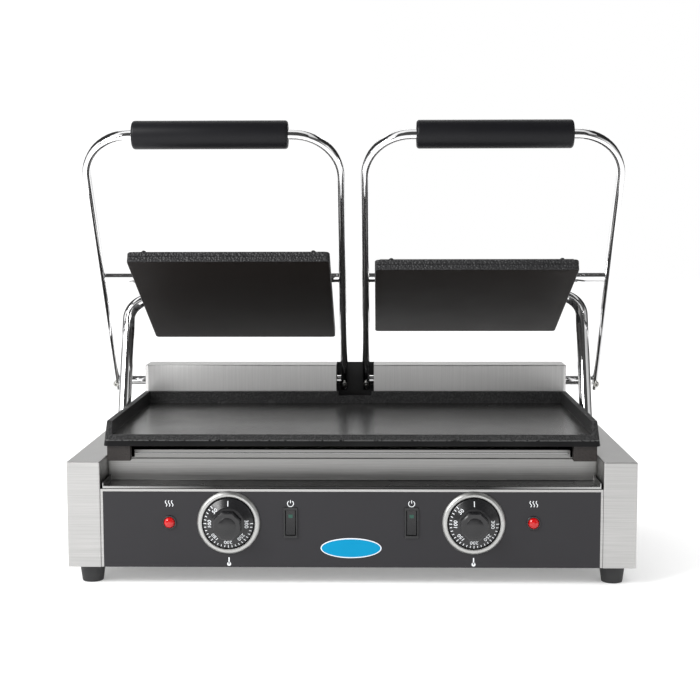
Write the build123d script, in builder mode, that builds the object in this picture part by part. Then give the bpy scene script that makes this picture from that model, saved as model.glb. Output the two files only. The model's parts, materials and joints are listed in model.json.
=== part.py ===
from build123d import *
import os
from math import acos, asin, cos, degrees, radians, sin, tan

os.makedirs("parts", exist_ok=True)

# A double contact grill: a stainless base with one long lower plate, and two upper plates,
# each hung on its own U-shaped handle that turns on a shaft at the rear.
# Millimetres. X runs along the width, +Y to the rear, +Z up. The origin is on the table,
# under the middle of the whole depth, knobs included. It is drawn with both handles up.

# Base
foot_height = 18.0
casing_width = 33.0
casing_height = 105.0
casing_edge_radius = 1.5
sheet = 1.2
seat_gap = 0.1
side_gap = 0.3

# Front panel with its controls
panel_height = 78.0
panel_setback = 1.0
film_thickness = 0.4
film_margin = 2.4
control_height = 62.8
dial_x = 120.5
lamp_x = 179.0
switch_x = 59.5
bezel_outer_radius = 31.2
bezel_ring_width = 5.4
bezel_thickness = 3.4
bezel_taper = 30.0
badge_length = 60.0
badge_height = 20.0
badge_z = 37.5
badge_thickness = 0.8

# Rubber feet
foot_top_radius = 13.0
foot_bottom_radius = 10.5
foot_inset_x = 20.5
foot_inset_y = 20.0
foot_screw_radius = 2.5
foot_head_radius = 5.0
foot_head_height = 4.0
foot_screw_spare = 3.0

# Drip tray in the recess above the front panel
tray_depth = 41.0
tray_sheet = 1.0
tray_front_lip = 2.6
tray_end_height = 6.0
tray_back_height = 23.0
tray_end_gap = 2.0
tray_run_gap = 0.3
tray_front_inset = 2.0

# Deck under the lower plate
deck_height = 119.5
deck_front_gap = 1.3
deck_upstand = 7.4
deck_rear_inset = 3.0
deck_window_width = 430.0
deck_window_depth = 150.0
plate_end_block = 23.0

# Lower plate, a ribbed iron casting
cook_width = 475.0
plate_side_gap = 0.4
cook_depth = 231.0
cook_height = 147.7
plate_thickness = 11.7
plate_front_inset = 16.6
plate_wall_top = 5.6
plate_wall_height = 13.1
plate_draft = 8.0
skirt_inset = 3.4
skirt_wall = 9.0
lip_groove = 0.7
leg_notch_width = 38.0
leg_notch_depth = 5.0

# Heating elements and the plates that clamp them
element_radius = 3.25
element_bend = 14.0
element_end_inset = 26.0
element_side_inset = 8.0
lower_clamp_overhang = 6.0
clamp_sheet = 2.0
bolt_radius = 3.0
bolt_head_radius = 5.0
bolt_head_height = 4.0

# Hinge housing along the rear
housing_gap = 0.5
housing_end_gap = 2.9
housing_depth = 38.0
housing_rear_gap = 4.8
housing_height = 70.0
housing_edge_radius = 4.0
housing_top_radius = 1.8
recess_half_width = 21.6
block_width = 12.0
block_half_depth = 14.0
block_top_margin = 14.0
bush_radius = 8.0
spring_outer_radius = 11.0
spring_inner_radius = 7.2
spring_length = 70.0
spring_wire = 3.0
spring_leg_gap = 1.0

# Handles
shaft_height = 171.0
shaft_inset_rear = 24.0
shaft_radius = 5.75
spigot_radius = 4.0
spigot_end_inset = 1.0
running_gap = 0.05
wall_hole_gap = 0.5
inner_leg_x = 12.7
outer_leg_overhang = 0.4
bar_thickness = 8.4
bar_breadth = 13.4
bar_bend_radius = 49.0
bar_tail = 11.0
handle_lean = 32.05
grip_reach = 324.8
grip_radius = 14.7
grip_length = 161.0
grip_edge_radius = 3.0
set_screw_radius = 3.2
set_screw_height = 2.4
set_screw_socket = 1.5

# Upper plates
crossbar_reach = 146.0
crossbar_radius = 5.6
platen_depth = 210.0
platen_edge_gap = 4.2
platen_thickness = 11.5
platen_corner_radius = 4.0
platen_inner_x = 23.3
platen_groove = 0.7
platen_edge_break = 1.0
pivot_from_front = 107.5
pivot_height = 30.3
closed_gap = 0.8
open_tilt = {"left": 26.9, "right": 22.4}
cover_inset = 5.0
cover_front_height = 2.0
cover_height = 30.5
cover_slope_end = 86.0
bracket_thickness = 4.0
bracket_wall = 4.0
bracket_half_length = 15.0
bracket_inset = 18.0
platen_element_inset = 32.0
clamp_inset = 26.0
clamp_front = 42.0
stud_inset = 16.0
stud_from_element = 13.0
lower_bolt_from_element = 32.75

# Conduit tubes that carry the upper plates' wires into the side casings
conduit_radius = 7.0
conduit_bore_radius = 5.6
conduit_inset = 21.5
conduit_from_front = 165.0
conduit_height = 28.0
conduit_bend_radius = 23.0
conduit_lean = {"left": 21.4, "right": 21.8}
conduit_end_drop = 2.5
conduit_entry = 3.6
travel_steps = 20
grommet_side_gap = 0.6
grommet_wall = 1.2
grommet_half_length = 13.0
grommet_flange = 1.0
nut_radius = 10.5
nut_thickness = 5.0

# Thermostats, knobs, lamps and switches
spindle_radius = 3.0
spindle_clearance = 1.0
thermostat_size = 36.0
thermostat_depth = 30.0
thermostat_corner_radius = 3.0
knob_radius = 24.8
knob_rim = 3.0
knob_cone_radius = 15.5
knob_cone_height = 7.5
knob_hub_radius = 14.4
knob_hub_sides = 8
knob_hub_chamfer = 1.2
knob_height = 18.0
knob_gap = 0.8
spindle_grip = 10.0
lamp_radius = 7.1
lamp_hole_radius = 5.5
lamp_dome = 4.5
lamp_taper = 12.0
lamp_edge_radius = 2.5
lamp_holder_wall = 1.5
lamp_holder_depth = 22.0
switch_width = 14.4
switch_height = 31.2
switch_rim = 1.6
switch_corner_radius = 1.6
switch_taper = 15.0
switch_lip = 0.8
switch_body_depth = 20.0
rocker_width = 9.2
rocker_height = 24.0
rocker_depth = 8.0
rocker_heel = 2.0
rocker_dish = 0.9
rocker_well_spare = 3.0
rocker_gap = 0.7
rocker_tilt = 8.0
rocker_proud = 0.4
rocker_pin_radius = 1.5
rocker_pin_length = 1.2

# Rear of the base
rear_setback = 14.0
gland_x = 150.0
gland_height = 60.0
gland_hole_radius = 6.0
gland_thread_radius = 8.0
gland_nut_radius = 11.0
gland_nut_length = 10.0
gland_inner_nut = 4.0
terminal_inset = 50.0
terminal_size = (50.0, 22.0, 18.0)

# Widths worked out from the lower plate
plate_height = plate_thickness + plate_wall_height
plate_flare = plate_height * tan(radians(plate_draft))
plate_half_width = cook_width / 2 + plate_wall_top + plate_flare
casing_inner_x = plate_half_width + plate_side_gap
half_width = casing_inner_x + casing_width
outer_leg_x = half_width + outer_leg_overhang
conduit_x = half_width - conduit_inset
housing_half_width = casing_inner_x - housing_end_gap
platen_width = cook_width / 2 - platen_edge_gap - platen_inner_x

# Depth of the base, from its front edge to behind the hinge housing
plate_depth = cook_depth + plate_wall_top + plate_flare
base_depth = plate_front_inset + plate_depth + housing_gap + housing_depth + housing_rear_gap

# Places worked out from the sizes above
knob_reach = knob_height + knob_gap + film_thickness - panel_setback
front_y = (knob_reach - base_depth) / 2
rear_y = front_y + base_depth
middle_y = (front_y + rear_y) / 2
pan_top = foot_height + sheet
casing_top = foot_height + casing_height
bay_half_width = casing_inner_x - seat_gap
panel_face_y = front_y + panel_setback
panel_back_y = panel_face_y + sheet
panel_top = foot_height + panel_height
film_face_y = panel_face_y - film_thickness
tray_front_y = front_y + tray_front_inset
tray_back_y = tray_front_y + tray_depth
tray_floor = panel_top + tray_run_gap
deck_front_y = tray_back_y + deck_front_gap
deck_rear_y = rear_y - deck_rear_inset
deck_top = deck_height + sheet
plate_bottom = cook_height - plate_thickness
plate_front_y = front_y + plate_front_inset
cook_rear_y = plate_front_y + cook_depth
plate_rear_y = cook_rear_y + plate_wall_top + plate_flare
housing_front_y = plate_rear_y + housing_gap
housing_rear_y = housing_front_y + housing_depth
shaft_y = rear_y - shaft_inset_rear
handle_middle_x = (inner_leg_x + outer_leg_x) / 2
leg_gap = outer_leg_x - inner_leg_x - bar_thickness
crossbar_y = shaft_y - crossbar_reach * sin(radians(handle_lean))
crossbar_z = shaft_height + crossbar_reach * cos(radians(handle_lean))
closed_pivot_z = cook_height + closed_gap + pivot_height
closed_rise = degrees(asin((closed_pivot_z - shaft_height) / crossbar_reach))
handle_travel = degrees(acos(sin(radians(handle_lean + closed_rise))))
platen_middle_x = platen_inner_x + platen_width / 2
cover_width = platen_width - 2 * cover_inset
cover_side_x = platen_inner_x + platen_width - cover_inset
cover_top = platen_thickness + cover_height
bezel_inner_radius = bezel_outer_radius - bezel_ring_width
knob_back_y = film_face_y - knob_gap
sides = {"left": -1, "right": 1}
foot_x = half_width - foot_inset_x
foot_rows = (front_y + foot_inset_y, rear_y - foot_inset_y)
foot_places = [(sign * foot_x, y) for sign in sides.values() for y in foot_rows]
print("handle travel in degrees:", round(handle_travel, 3))


def facing_plane(y):
    """Sketch plane that faces the cook, X to the right and Z up, at the depth y."""
    return Plane.XZ.offset(-y)


def side_plane(x):
    """Sketch plane whose normal is +X, with Y to the right and Z up."""
    return Plane.YZ.offset(x)


handle_plane = Plane(
    origin=(0, shaft_y, shaft_height),
    x_dir=(1, 0, 0),
    z_dir=(0, -cos(radians(handle_lean)), -sin(radians(handle_lean))),
)


def platen_axes(side):
    """Directions of an upper plate at rest: along it to the rear, and up through it."""
    tilt = radians(open_tilt[side])
    return Vector(0, cos(tilt), -sin(tilt)), Vector(0, sin(tilt), cos(tilt))


def platen_point(side, from_front, height, x=0.0):
    """A point given along and above an upper plate's cooking face, in the row's frame."""
    along, up = platen_axes(side)
    pivot = Vector(x, crossbar_y, crossbar_z)
    return pivot + along * (from_front - pivot_from_front) + up * (height - pivot_height)


def conduit_depth(side, turned, height):
    """Depth of a conduit's straight tail at a height, once its handle has turned so many degrees."""
    angle = radians(handle_lean + turned)
    tilt = radians(open_tilt[side] * (1 - turned / handle_travel))
    back = conduit_from_front - pivot_from_front
    rise = conduit_height - pivot_height
    start_y = shaft_y - crossbar_reach * sin(angle) + back * cos(tilt) + rise * sin(tilt)
    start_z = shaft_height + crossbar_reach * cos(angle) - back * sin(tilt) + rise * cos(tilt)
    lean = tilt - radians(open_tilt[side] - conduit_lean[side])
    return start_y - (start_z - height) * tan(lean)


def conduit_crossing(side):
    """Middle of the depths at which a conduit passes the casing's top as its handle turns."""
    turns = [handle_travel * step / travel_steps for step in range(travel_steps + 1)]
    depths = [conduit_depth(side, turned, casing_top) for turned in turns]
    print(side, "conduit crosses the casing's top from", round(min(depths), 1), "to", round(max(depths), 1))
    return (min(depths) + max(depths)) / 2


grommet_half_width = conduit_radius + grommet_side_gap + grommet_wall
grommet_slot_length = 2 * (grommet_half_length - grommet_wall)
grommet_slot_width = 2 * (grommet_half_width - grommet_wall)
crossing = {side: conduit_crossing(side) for side in sides}


# Base pan, the floor of the base, with a slot under each conduit's lowest place
pan_half_width = half_width - sheet - seat_gap
pan_front_y = panel_back_y + seat_gap
pan_rear_y = rear_y - sheet - seat_gap
lowest_depth = {side: conduit_depth(side, handle_travel, pan_top) for side in sides}
pan_slots = [(sign * conduit_x, lowest_depth[side]) for side, sign in sides.items()]
with BuildPart() as base_pan:
    with BuildSketch(Plane.XY.offset(foot_height)):
        with Locations((0, (pan_front_y + pan_rear_y) / 2)):
            Rectangle(2 * pan_half_width, pan_rear_y - pan_front_y)
        with Locations(*foot_places):
            Circle(foot_screw_radius + seat_gap, mode=Mode.SUBTRACT)
        with Locations(*pan_slots):
            SlotOverall(grommet_slot_length, grommet_slot_width, rotation=90, mode=Mode.SUBTRACT)
    extrude(amount=sheet)
base_pan.part.label = "base_pan"
export_step(base_pan.part, "parts/base_pan.step")


# Side casings, folded shells that are open below
for side, sign in sides.items():
    with BuildPart() as side_casing:
        with BuildSketch(Plane.XY.offset(foot_height)):
            with Locations((sign * (half_width - casing_width / 2), middle_y)):
                Rectangle(casing_width, base_depth)
        extrude(amount=casing_height)
        fillet(side_casing.edges().filter_by(Axis.Z), casing_edge_radius)
        fillet(side_casing.faces().sort_by(Axis.Z)[-1].edges(), casing_edge_radius / 2)
        with BuildSketch(Plane.XY.offset(foot_height)):
            with Locations((sign * (half_width - casing_width / 2), middle_y)):
                Rectangle(casing_width - 2 * sheet, base_depth - 2 * sheet)
        extrude(amount=casing_height - sheet, mode=Mode.SUBTRACT)
        with BuildSketch(Plane.XY.offset(foot_height)):
            with Locations((0, (pan_front_y + pan_rear_y) / 2)):
                Rectangle(2 * pan_half_width + 2 * seat_gap, pan_rear_y - pan_front_y + 2 * seat_gap)
        extrude(amount=sheet, mode=Mode.SUBTRACT)
        with BuildSketch(Plane.XY.offset(casing_top)):
            with Locations((sign * conduit_x, crossing[side])):
                SlotOverall(2 * grommet_half_length, 2 * grommet_half_width, rotation=90)
        extrude(amount=-2 * sheet, mode=Mode.SUBTRACT)
    side_casing.part.label = f"{side}_side_casing"
    export_step(side_casing.part, f"parts/{side}_side_casing.step")


# Slotted grommets that guide the conduits through the casings' tops
grommet_neck_length = 2 * grommet_half_length - side_gap
grommet_neck_width = 2 * grommet_half_width - side_gap
grommet_rim_length = 2 * (grommet_half_length + grommet_flange)
grommet_rim_width = 2 * (grommet_half_width + grommet_flange)
with BuildPart() as conduit_grommets:
    for side, sign in sides.items():
        with BuildSketch(Plane.XY.offset(casing_top - sheet - grommet_flange)):
            with Locations((sign * conduit_x, crossing[side])):
                SlotOverall(grommet_neck_length, grommet_neck_width, rotation=90)
        extrude(amount=sheet + 2 * grommet_flange)
        with BuildSketch(Plane.XY.offset(casing_top)):
            with Locations((sign * conduit_x, crossing[side])):
                SlotOverall(grommet_rim_length, grommet_rim_width, rotation=90)
        extrude(amount=grommet_flange)
        with BuildSketch(Plane.XY.offset(casing_top - 2 * grommet_flange - sheet)):
            with Locations((sign * conduit_x, crossing[side])):
                SlotOverall(grommet_slot_length, grommet_slot_width, rotation=90)
        extrude(amount=sheet + 4 * grommet_flange, mode=Mode.SUBTRACT)
conduit_grommets.part.label = "conduit_grommets"
export_step(conduit_grommets.part, "parts/conduit_grommets.step")


# Front panel with the shelf that the drip tray slides on
shelf_depth = deck_front_y - panel_back_y + sheet
switch_hole_width = switch_width - 2 * switch_lip + 2 * seat_gap
switch_hole_height = switch_height - 2 * switch_lip + 2 * seat_gap
with BuildPart() as front_panel:
    with BuildSketch(facing_plane(panel_back_y)):
        with Locations((0, foot_height + panel_height / 2)):
            Rectangle(2 * bay_half_width, panel_height)
    extrude(amount=sheet)
    with BuildSketch(Plane.XY.offset(panel_top)):
        with Locations((0, panel_back_y + shelf_depth / 2)):
            Rectangle(2 * bay_half_width, shelf_depth)
    extrude(amount=-sheet)
    with BuildSketch(facing_plane(panel_face_y)):
        with Locations(*[(sign * dial_x, control_height) for sign in sides.values()]):
            Circle(spindle_radius + spindle_clearance)
        with Locations(*[(sign * lamp_x, control_height) for sign in sides.values()]):
            Circle(lamp_hole_radius + seat_gap)
        with Locations(*[(sign * switch_x, control_height) for sign in sides.values()]):
            Rectangle(switch_hole_width, switch_hole_height)
    extrude(amount=-sheet, mode=Mode.SUBTRACT)
front_panel.part.label = "front_panel"
export_step(front_panel.part, "parts/front_panel.step")


# Printed film on the front panel
film_height = panel_height - film_margin
with BuildPart() as panel_fascia:
    with BuildSketch(facing_plane(panel_face_y)):
        with Locations((0, foot_height + film_height / 2)):
            Rectangle(2 * (bay_half_width - film_margin), film_height)
        with Locations(*[(sign * dial_x, control_height) for sign in sides.values()]):
            Circle(spindle_radius + spindle_clearance, mode=Mode.SUBTRACT)
        with Locations(*[(sign * lamp_x, control_height) for sign in sides.values()]):
            Circle(lamp_hole_radius + seat_gap, mode=Mode.SUBTRACT)
        with Locations(*[(sign * switch_x, control_height) for sign in sides.values()]):
            Rectangle(switch_hole_width, switch_hole_height, mode=Mode.SUBTRACT)
    extrude(amount=film_thickness)
panel_fascia.part.label = "panel_fascia"
export_step(panel_fascia.part, "parts/panel_fascia.step")


# Rear panel, set in so that the cable gland stays within the base
rear_face_y = rear_y - rear_setback
with BuildPart() as rear_panel:
    with BuildSketch(facing_plane(rear_face_y)):
        with Locations((0, (pan_top + deck_height) / 2)):
            Rectangle(2 * bay_half_width, deck_height - pan_top)
        with Locations((gland_x, gland_height)):
            Circle(gland_thread_radius + seat_gap, mode=Mode.SUBTRACT)
    extrude(amount=sheet)
rear_panel.part.label = "rear_panel"
export_step(rear_panel.part, "parts/rear_panel.step")


# Deck with the turned-up strip that shows under the lower plate
with BuildPart() as top_deck:
    with BuildSketch(Plane.XY.offset(deck_height)):
        with Locations((0, (deck_front_y + deck_rear_y) / 2)):
            Rectangle(2 * bay_half_width, deck_rear_y - deck_front_y)
        with Locations((0, middle_y)):
            Rectangle(deck_window_width, deck_window_depth, mode=Mode.SUBTRACT)
    extrude(amount=sheet)
    with BuildSketch(Plane.XY.offset(panel_top)):
        with Locations((0, deck_front_y + sheet / 2)):
            Rectangle(2 * bay_half_width, sheet)
    extrude(amount=deck_height - panel_top)
    with BuildSketch(Plane.XY.offset(deck_top)):
        with Locations((0, deck_front_y + sheet / 2)):
            Rectangle(2 * (plate_half_width - skirt_inset - plate_end_block), sheet)
    extrude(amount=deck_upstand)
top_deck.part.label = "top_deck"
export_step(top_deck.part, "parts/top_deck.step")


# Drip tray
tray_half_width = casing_inner_x - tray_end_gap
with BuildPart() as drip_tray:
    with BuildSketch(Plane.XY.offset(tray_floor)):
        with Locations((0, (tray_front_y + tray_back_y) / 2)):
            Rectangle(2 * tray_half_width, tray_depth)
    extrude(amount=tray_sheet)
    with BuildSketch(Plane.XY.offset(tray_floor + tray_sheet)):
        with Locations((0, tray_back_y - tray_sheet / 2)):
            Rectangle(2 * tray_half_width, tray_sheet)
    extrude(amount=tray_back_height - tray_sheet)
    with BuildSketch(Plane.XY.offset(tray_floor + tray_sheet)):
        with Locations((0, tray_front_y + tray_sheet / 2)):
            Rectangle(2 * tray_half_width, tray_sheet)
    extrude(amount=tray_front_lip - tray_sheet)
    end_x = tray_half_width - tray_sheet / 2
    with BuildSketch(Plane.XY.offset(tray_floor + tray_sheet)):
        with Locations(*[(sign * end_x, (tray_front_y + tray_back_y) / 2) for sign in sides.values()]):
            Rectangle(tray_sheet, tray_depth)
    extrude(amount=tray_end_height - tray_sheet)
drip_tray.part.label = "drip_tray"
export_step(drip_tray.part, "parts/drip_tray.step")


# Lower plate: a slab with a low wall on three sides and a skirt under it
skirt_half_width = plate_half_width - skirt_inset
skirt_front_y = plate_front_y + skirt_inset
skirt_rear_y = plate_rear_y - skirt_inset
skirt_depth = skirt_rear_y - skirt_front_y
skirt_middle_y = (skirt_front_y + skirt_rear_y) / 2
with BuildPart() as lower_plate:
    with BuildSketch(Plane.XY.offset(plate_bottom)):
        with Locations((0, (plate_front_y + plate_rear_y) / 2)):
            RectangleRounded(2 * plate_half_width, plate_rear_y - plate_front_y, plate_wall_top)
    extrude(amount=plate_height, taper=plate_draft)
    with BuildSketch(Plane.XY.offset(cook_height)):
        with Locations((0, cook_rear_y - base_depth / 2)):
            Rectangle(cook_width, base_depth)
    extrude(amount=2 * plate_wall_height, mode=Mode.SUBTRACT)
    with BuildSketch(side_plane(0)):
        with Locations((plate_front_y, cook_height - plate_thickness / 2)):
            Rectangle(4 * lip_groove, lip_groove)
    extrude(amount=plate_half_width - plate_wall_top, both=True, mode=Mode.SUBTRACT)
    with BuildSketch(Plane.XY.offset(cook_height + plate_wall_height - leg_notch_depth)):
        with Locations((0, cook_rear_y)):
            Rectangle(leg_notch_width, 4 * plate_wall_top)
    extrude(amount=2 * leg_notch_depth, mode=Mode.SUBTRACT)
    with BuildSketch(Plane.XY.offset(deck_top)):
        with Locations((0, skirt_middle_y)):
            Rectangle(2 * skirt_half_width, skirt_depth)
            Rectangle(2 * (skirt_half_width - skirt_wall), skirt_depth - 2 * skirt_wall, mode=Mode.SUBTRACT)
        with Locations((0, skirt_front_y + skirt_wall / 2)):
            Rectangle(2 * (skirt_half_width - plate_end_block), skirt_wall, mode=Mode.SUBTRACT)
    extrude(amount=plate_bottom - deck_top)
lower_plate.part.label = "lower_plate"
export_step(lower_plate.part, "parts/lower_plate.step")


# Heating elements under the lower plate, one bent tube for each half
def element_path(plane, half_length, half_depth, bend):
    """A flat W-shaped tube route, with both ends at the rear."""
    points = [
        (-half_length, half_depth),
        (-half_length, -half_depth),
        (-half_length / 3, -half_depth),
        (-half_length / 3, half_depth / 2),
        (half_length / 3, half_depth / 2),
        (half_length / 3, -half_depth),
        (half_length, -half_depth),
        (half_length, half_depth),
    ]
    with BuildLine(plane) as path:
        FilletPolyline(*points, radius=bend)
    return path


lower_element_z = plate_bottom - seat_gap - element_radius
lower_clamp_top = lower_element_z - element_radius - seat_gap
lower_element_half_length = cook_width / 4 - element_end_inset
lower_element_half_depth = deck_window_depth / 2 - element_side_inset
with BuildPart() as lower_heating_elements:
    for sign in sides.values():
        element_plane = Plane((sign * cook_width / 4, middle_y, lower_element_z))
        route = element_path(element_plane, lower_element_half_length, lower_element_half_depth, element_bend)
        with BuildSketch(Plane(route.line @ 0, z_dir=route.line % 0)):
            Circle(element_radius)
        sweep(path=route.line)
lower_heating_elements.part.label = "lower_heating_elements"
export_step(lower_heating_elements.part, "parts/lower_heating_elements.step")


# Clamp plates and the bolts that pull them up under the lower plate
lower_bolt_spread = lower_element_half_length - lower_bolt_from_element
bolt_columns = [cook_width / 4 - lower_bolt_spread, cook_width / 4 + lower_bolt_spread]
lower_bolt_places = [(sign * column, middle_y) for sign in sides.values() for column in bolt_columns]
with BuildPart() as lower_clamp_plates:
    with BuildSketch(Plane.XY.offset(lower_clamp_top)):
        with Locations(*[(sign * cook_width / 4, middle_y) for sign in sides.values()]):
            Rectangle(2 * (lower_element_half_length + lower_clamp_overhang), lower_element_half_depth)
        with Locations(*lower_bolt_places):
            Circle(bolt_radius + seat_gap, mode=Mode.SUBTRACT)
    extrude(amount=-clamp_sheet)
lower_clamp_plates.part.label = "lower_clamp_plates"
export_step(lower_clamp_plates.part, "parts/lower_clamp_plates.step")

with BuildPart() as lower_plate_bolts:
    with BuildSketch(Plane.XY.offset(plate_bottom)):
        with Locations(*lower_bolt_places):
            Circle(bolt_radius)
    extrude(amount=-(plate_bottom - lower_clamp_top + clamp_sheet))
    with BuildSketch(Plane.XY.offset(lower_clamp_top - clamp_sheet)):
        with Locations(*lower_bolt_places):
            RegularPolygon(bolt_head_radius, 6)
    extrude(amount=-bolt_head_height)
lower_plate_bolts.part.label = "lower_plate_bolts"
export_step(lower_plate_bolts.part, "parts/lower_plate_bolts.step")


# Hinge housing, a long box with a recess in the middle for the inner legs
housing_middle_y = (housing_front_y + housing_rear_y) / 2
with BuildPart() as hinge_housing:
    with BuildSketch(Plane.XY.offset(deck_top)):
        with Locations((0, housing_middle_y)):
            RectangleRounded(2 * housing_half_width, housing_depth, housing_edge_radius)
    extrude(amount=housing_height)
    fillet(hinge_housing.faces().sort_by(Axis.Z)[-1].edges(), housing_top_radius)
    with BuildSketch(Plane.XY.offset(deck_top)):
        with Locations((0, housing_middle_y)):
            RectangleRounded(
                2 * (housing_half_width - sheet), housing_depth - 2 * sheet, housing_edge_radius - sheet
            )
    extrude(amount=housing_height - sheet, mode=Mode.SUBTRACT)
    with BuildSketch(Plane.XY.offset(deck_top)):
        with Locations((0, housing_middle_y - sheet)):
            Rectangle(2 * recess_half_width, housing_depth)
    extrude(amount=housing_height, mode=Mode.SUBTRACT)
    for sign in sides.values():
        with BuildSketch(side_plane(sign * recess_half_width)):
            with Locations((housing_middle_y, deck_top + housing_height / 2)):
                Rectangle(housing_depth - sheet, housing_height - sheet)
        extrude(amount=sign * sheet)
    with BuildSketch(side_plane(0)):
        with Locations((shaft_y, shaft_height)):
            Circle(shaft_radius + wall_hole_gap)
    extrude(amount=housing_half_width + sheet, both=True, mode=Mode.SUBTRACT)
hinge_housing.part.label = "hinge_housing"
export_step(hinge_housing.part, "parts/hinge_housing.step")


# Bearing blocks on the deck, with a bush in each, inside both ends of each half
outer_block_x = housing_half_width - sheet - side_gap - block_width
block_inner_faces = [recess_half_width + sheet + side_gap, outer_block_x]
with BuildPart() as bearing_blocks:
    for sign in sides.values():
        for face_x in block_inner_faces:
            with BuildSketch(side_plane(sign * face_x)):
                with Locations((shaft_y, (deck_top + shaft_height + block_top_margin) / 2)):
                    Rectangle(2 * block_half_depth, shaft_height + block_top_margin - deck_top)
                with Locations((shaft_y, shaft_height)):
                    Circle(bush_radius, mode=Mode.SUBTRACT)
            extrude(amount=sign * block_width)
bearing_blocks.part.label = "bearing_blocks"
export_step(bearing_blocks.part, "parts/bearing_blocks.step")

with BuildPart() as shaft_bushes:
    for sign in sides.values():
        for face_x in block_inner_faces:
            with BuildSketch(side_plane(sign * face_x)):
                with Locations((shaft_y, shaft_height)):
                    Circle(bush_radius)
                    Circle(shaft_radius + running_gap, mode=Mode.SUBTRACT)
            extrude(amount=sign * block_width)
shaft_bushes.part.label = "shaft_bushes"
export_step(shaft_bushes.part, "parts/shaft_bushes.step")


# Counterbalance springs, drawn as the sleeves that they fill, each with its lower leg
spring_face_x = block_inner_faces[0] + block_width
with BuildPart() as counterbalance_springs:
    for sign in sides.values():
        with BuildSketch(side_plane(sign * spring_face_x)):
            with Locations((shaft_y, shaft_height)):
                Circle(spring_outer_radius)
                Circle(spring_inner_radius, mode=Mode.SUBTRACT)
        extrude(amount=sign * spring_length)
        leg_top = shaft_height - spring_inner_radius - spring_leg_gap
        with BuildSketch(side_plane(sign * (spring_face_x + spring_length / 2))):
            with Locations((shaft_y, (leg_top + deck_top) / 2)):
                Rectangle(spring_wire, leg_top - deck_top)
        extrude(amount=sign * spring_wire)
counterbalance_springs.part.label = "counterbalance_springs"
export_step(counterbalance_springs.part, "parts/counterbalance_springs.step")


# Dial bezels: tapered rings around the knobs
with BuildPart() as dial_bezels:
    with BuildSketch(facing_plane(film_face_y)):
        with Locations(*[(sign * dial_x, control_height) for sign in sides.values()]):
            Circle(bezel_outer_radius)
    extrude(amount=bezel_thickness, taper=bezel_taper)
    with BuildSketch(facing_plane(film_face_y)):
        with Locations(*[(sign * dial_x, control_height) for sign in sides.values()]):
            Circle(bezel_inner_radius)
    extrude(amount=bezel_thickness, mode=Mode.SUBTRACT)
dial_bezels.part.label = "dial_bezels"
export_step(dial_bezels.part, "parts/dial_bezels.step")


# Thermostats behind the panel
with BuildPart() as thermostats:
    with BuildSketch(facing_plane(panel_back_y)):
        with Locations(*[(sign * dial_x, control_height) for sign in sides.values()]):
            RectangleRounded(thermostat_size, thermostat_size, thermostat_corner_radius)
            Circle(spindle_radius + running_gap, mode=Mode.SUBTRACT)
    extrude(amount=-thermostat_depth)
thermostats.part.label = "thermostats"
export_step(thermostats.part, "parts/thermostats.step")


# Knobs and their spindles
spindle_length = thermostat_depth + (panel_back_y - knob_back_y) + spindle_grip
for side, sign in sides.items():
    with BuildPart() as knob_spindle:
        with BuildSketch(facing_plane(panel_back_y + thermostat_depth)):
            with Locations((sign * dial_x, control_height)):
                Circle(spindle_radius)
        extrude(amount=spindle_length)
    knob_spindle.part.label = f"{side}_knob_spindle"
    export_step(knob_spindle.part, f"parts/{side}_knob_spindle.step")

    with BuildPart() as knob:
        with BuildSketch(Plane((sign * dial_x, knob_back_y, control_height))):
            with BuildLine():
                Polyline(
                    (0, 0),
                    (knob_radius, 0),
                    (knob_radius, -knob_rim),
                    (knob_cone_radius, -knob_cone_height),
                    (0, -knob_cone_height),
                    close=True,
                )
            make_face()
        revolve(axis=Axis((sign * dial_x, knob_back_y, control_height), (0, 1, 0)))
        with BuildSketch(facing_plane(knob_back_y - knob_cone_height)):
            with Locations((sign * dial_x, control_height)):
                RegularPolygon(knob_hub_radius, knob_hub_sides, rotation=180 / knob_hub_sides)
        extrude(amount=knob_height - knob_cone_height)
        chamfer(knob.faces().sort_by(Axis.Y)[0].edges(), knob_hub_chamfer)
        with BuildSketch(facing_plane(knob_back_y)):
            with Locations((sign * dial_x, control_height)):
                Circle(spindle_radius + seat_gap / 2)
        extrude(amount=spindle_grip, mode=Mode.SUBTRACT)
    knob.part.label = f"{side}_knob"
    export_step(knob.part, f"parts/{side}_knob.step")


# Pilot lamps: a holder through the panel and a red lens
with BuildPart() as pilot_lamp_holders:
    with BuildSketch(facing_plane(film_face_y)):
        with Locations(*[(sign * lamp_x, control_height) for sign in sides.values()]):
            Circle(lamp_hole_radius)
            Circle(lamp_hole_radius - lamp_holder_wall, mode=Mode.SUBTRACT)
    extrude(amount=-lamp_holder_depth)
pilot_lamp_holders.part.label = "pilot_lamp_holders"
export_step(pilot_lamp_holders.part, "parts/pilot_lamp_holders.step")

with BuildPart() as pilot_lenses:
    with BuildSketch(facing_plane(film_face_y)):
        with Locations(*[(sign * lamp_x, control_height) for sign in sides.values()]):
            Circle(lamp_radius)
    extrude(amount=lamp_dome, taper=lamp_taper)
    fillet(pilot_lenses.faces().filter_by(Axis.Y).group_by(Axis.Y)[0].edges(), lamp_edge_radius)
pilot_lenses.part.label = "pilot_lenses"
export_step(pilot_lenses.part, "parts/pilot_lenses.step")


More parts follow.
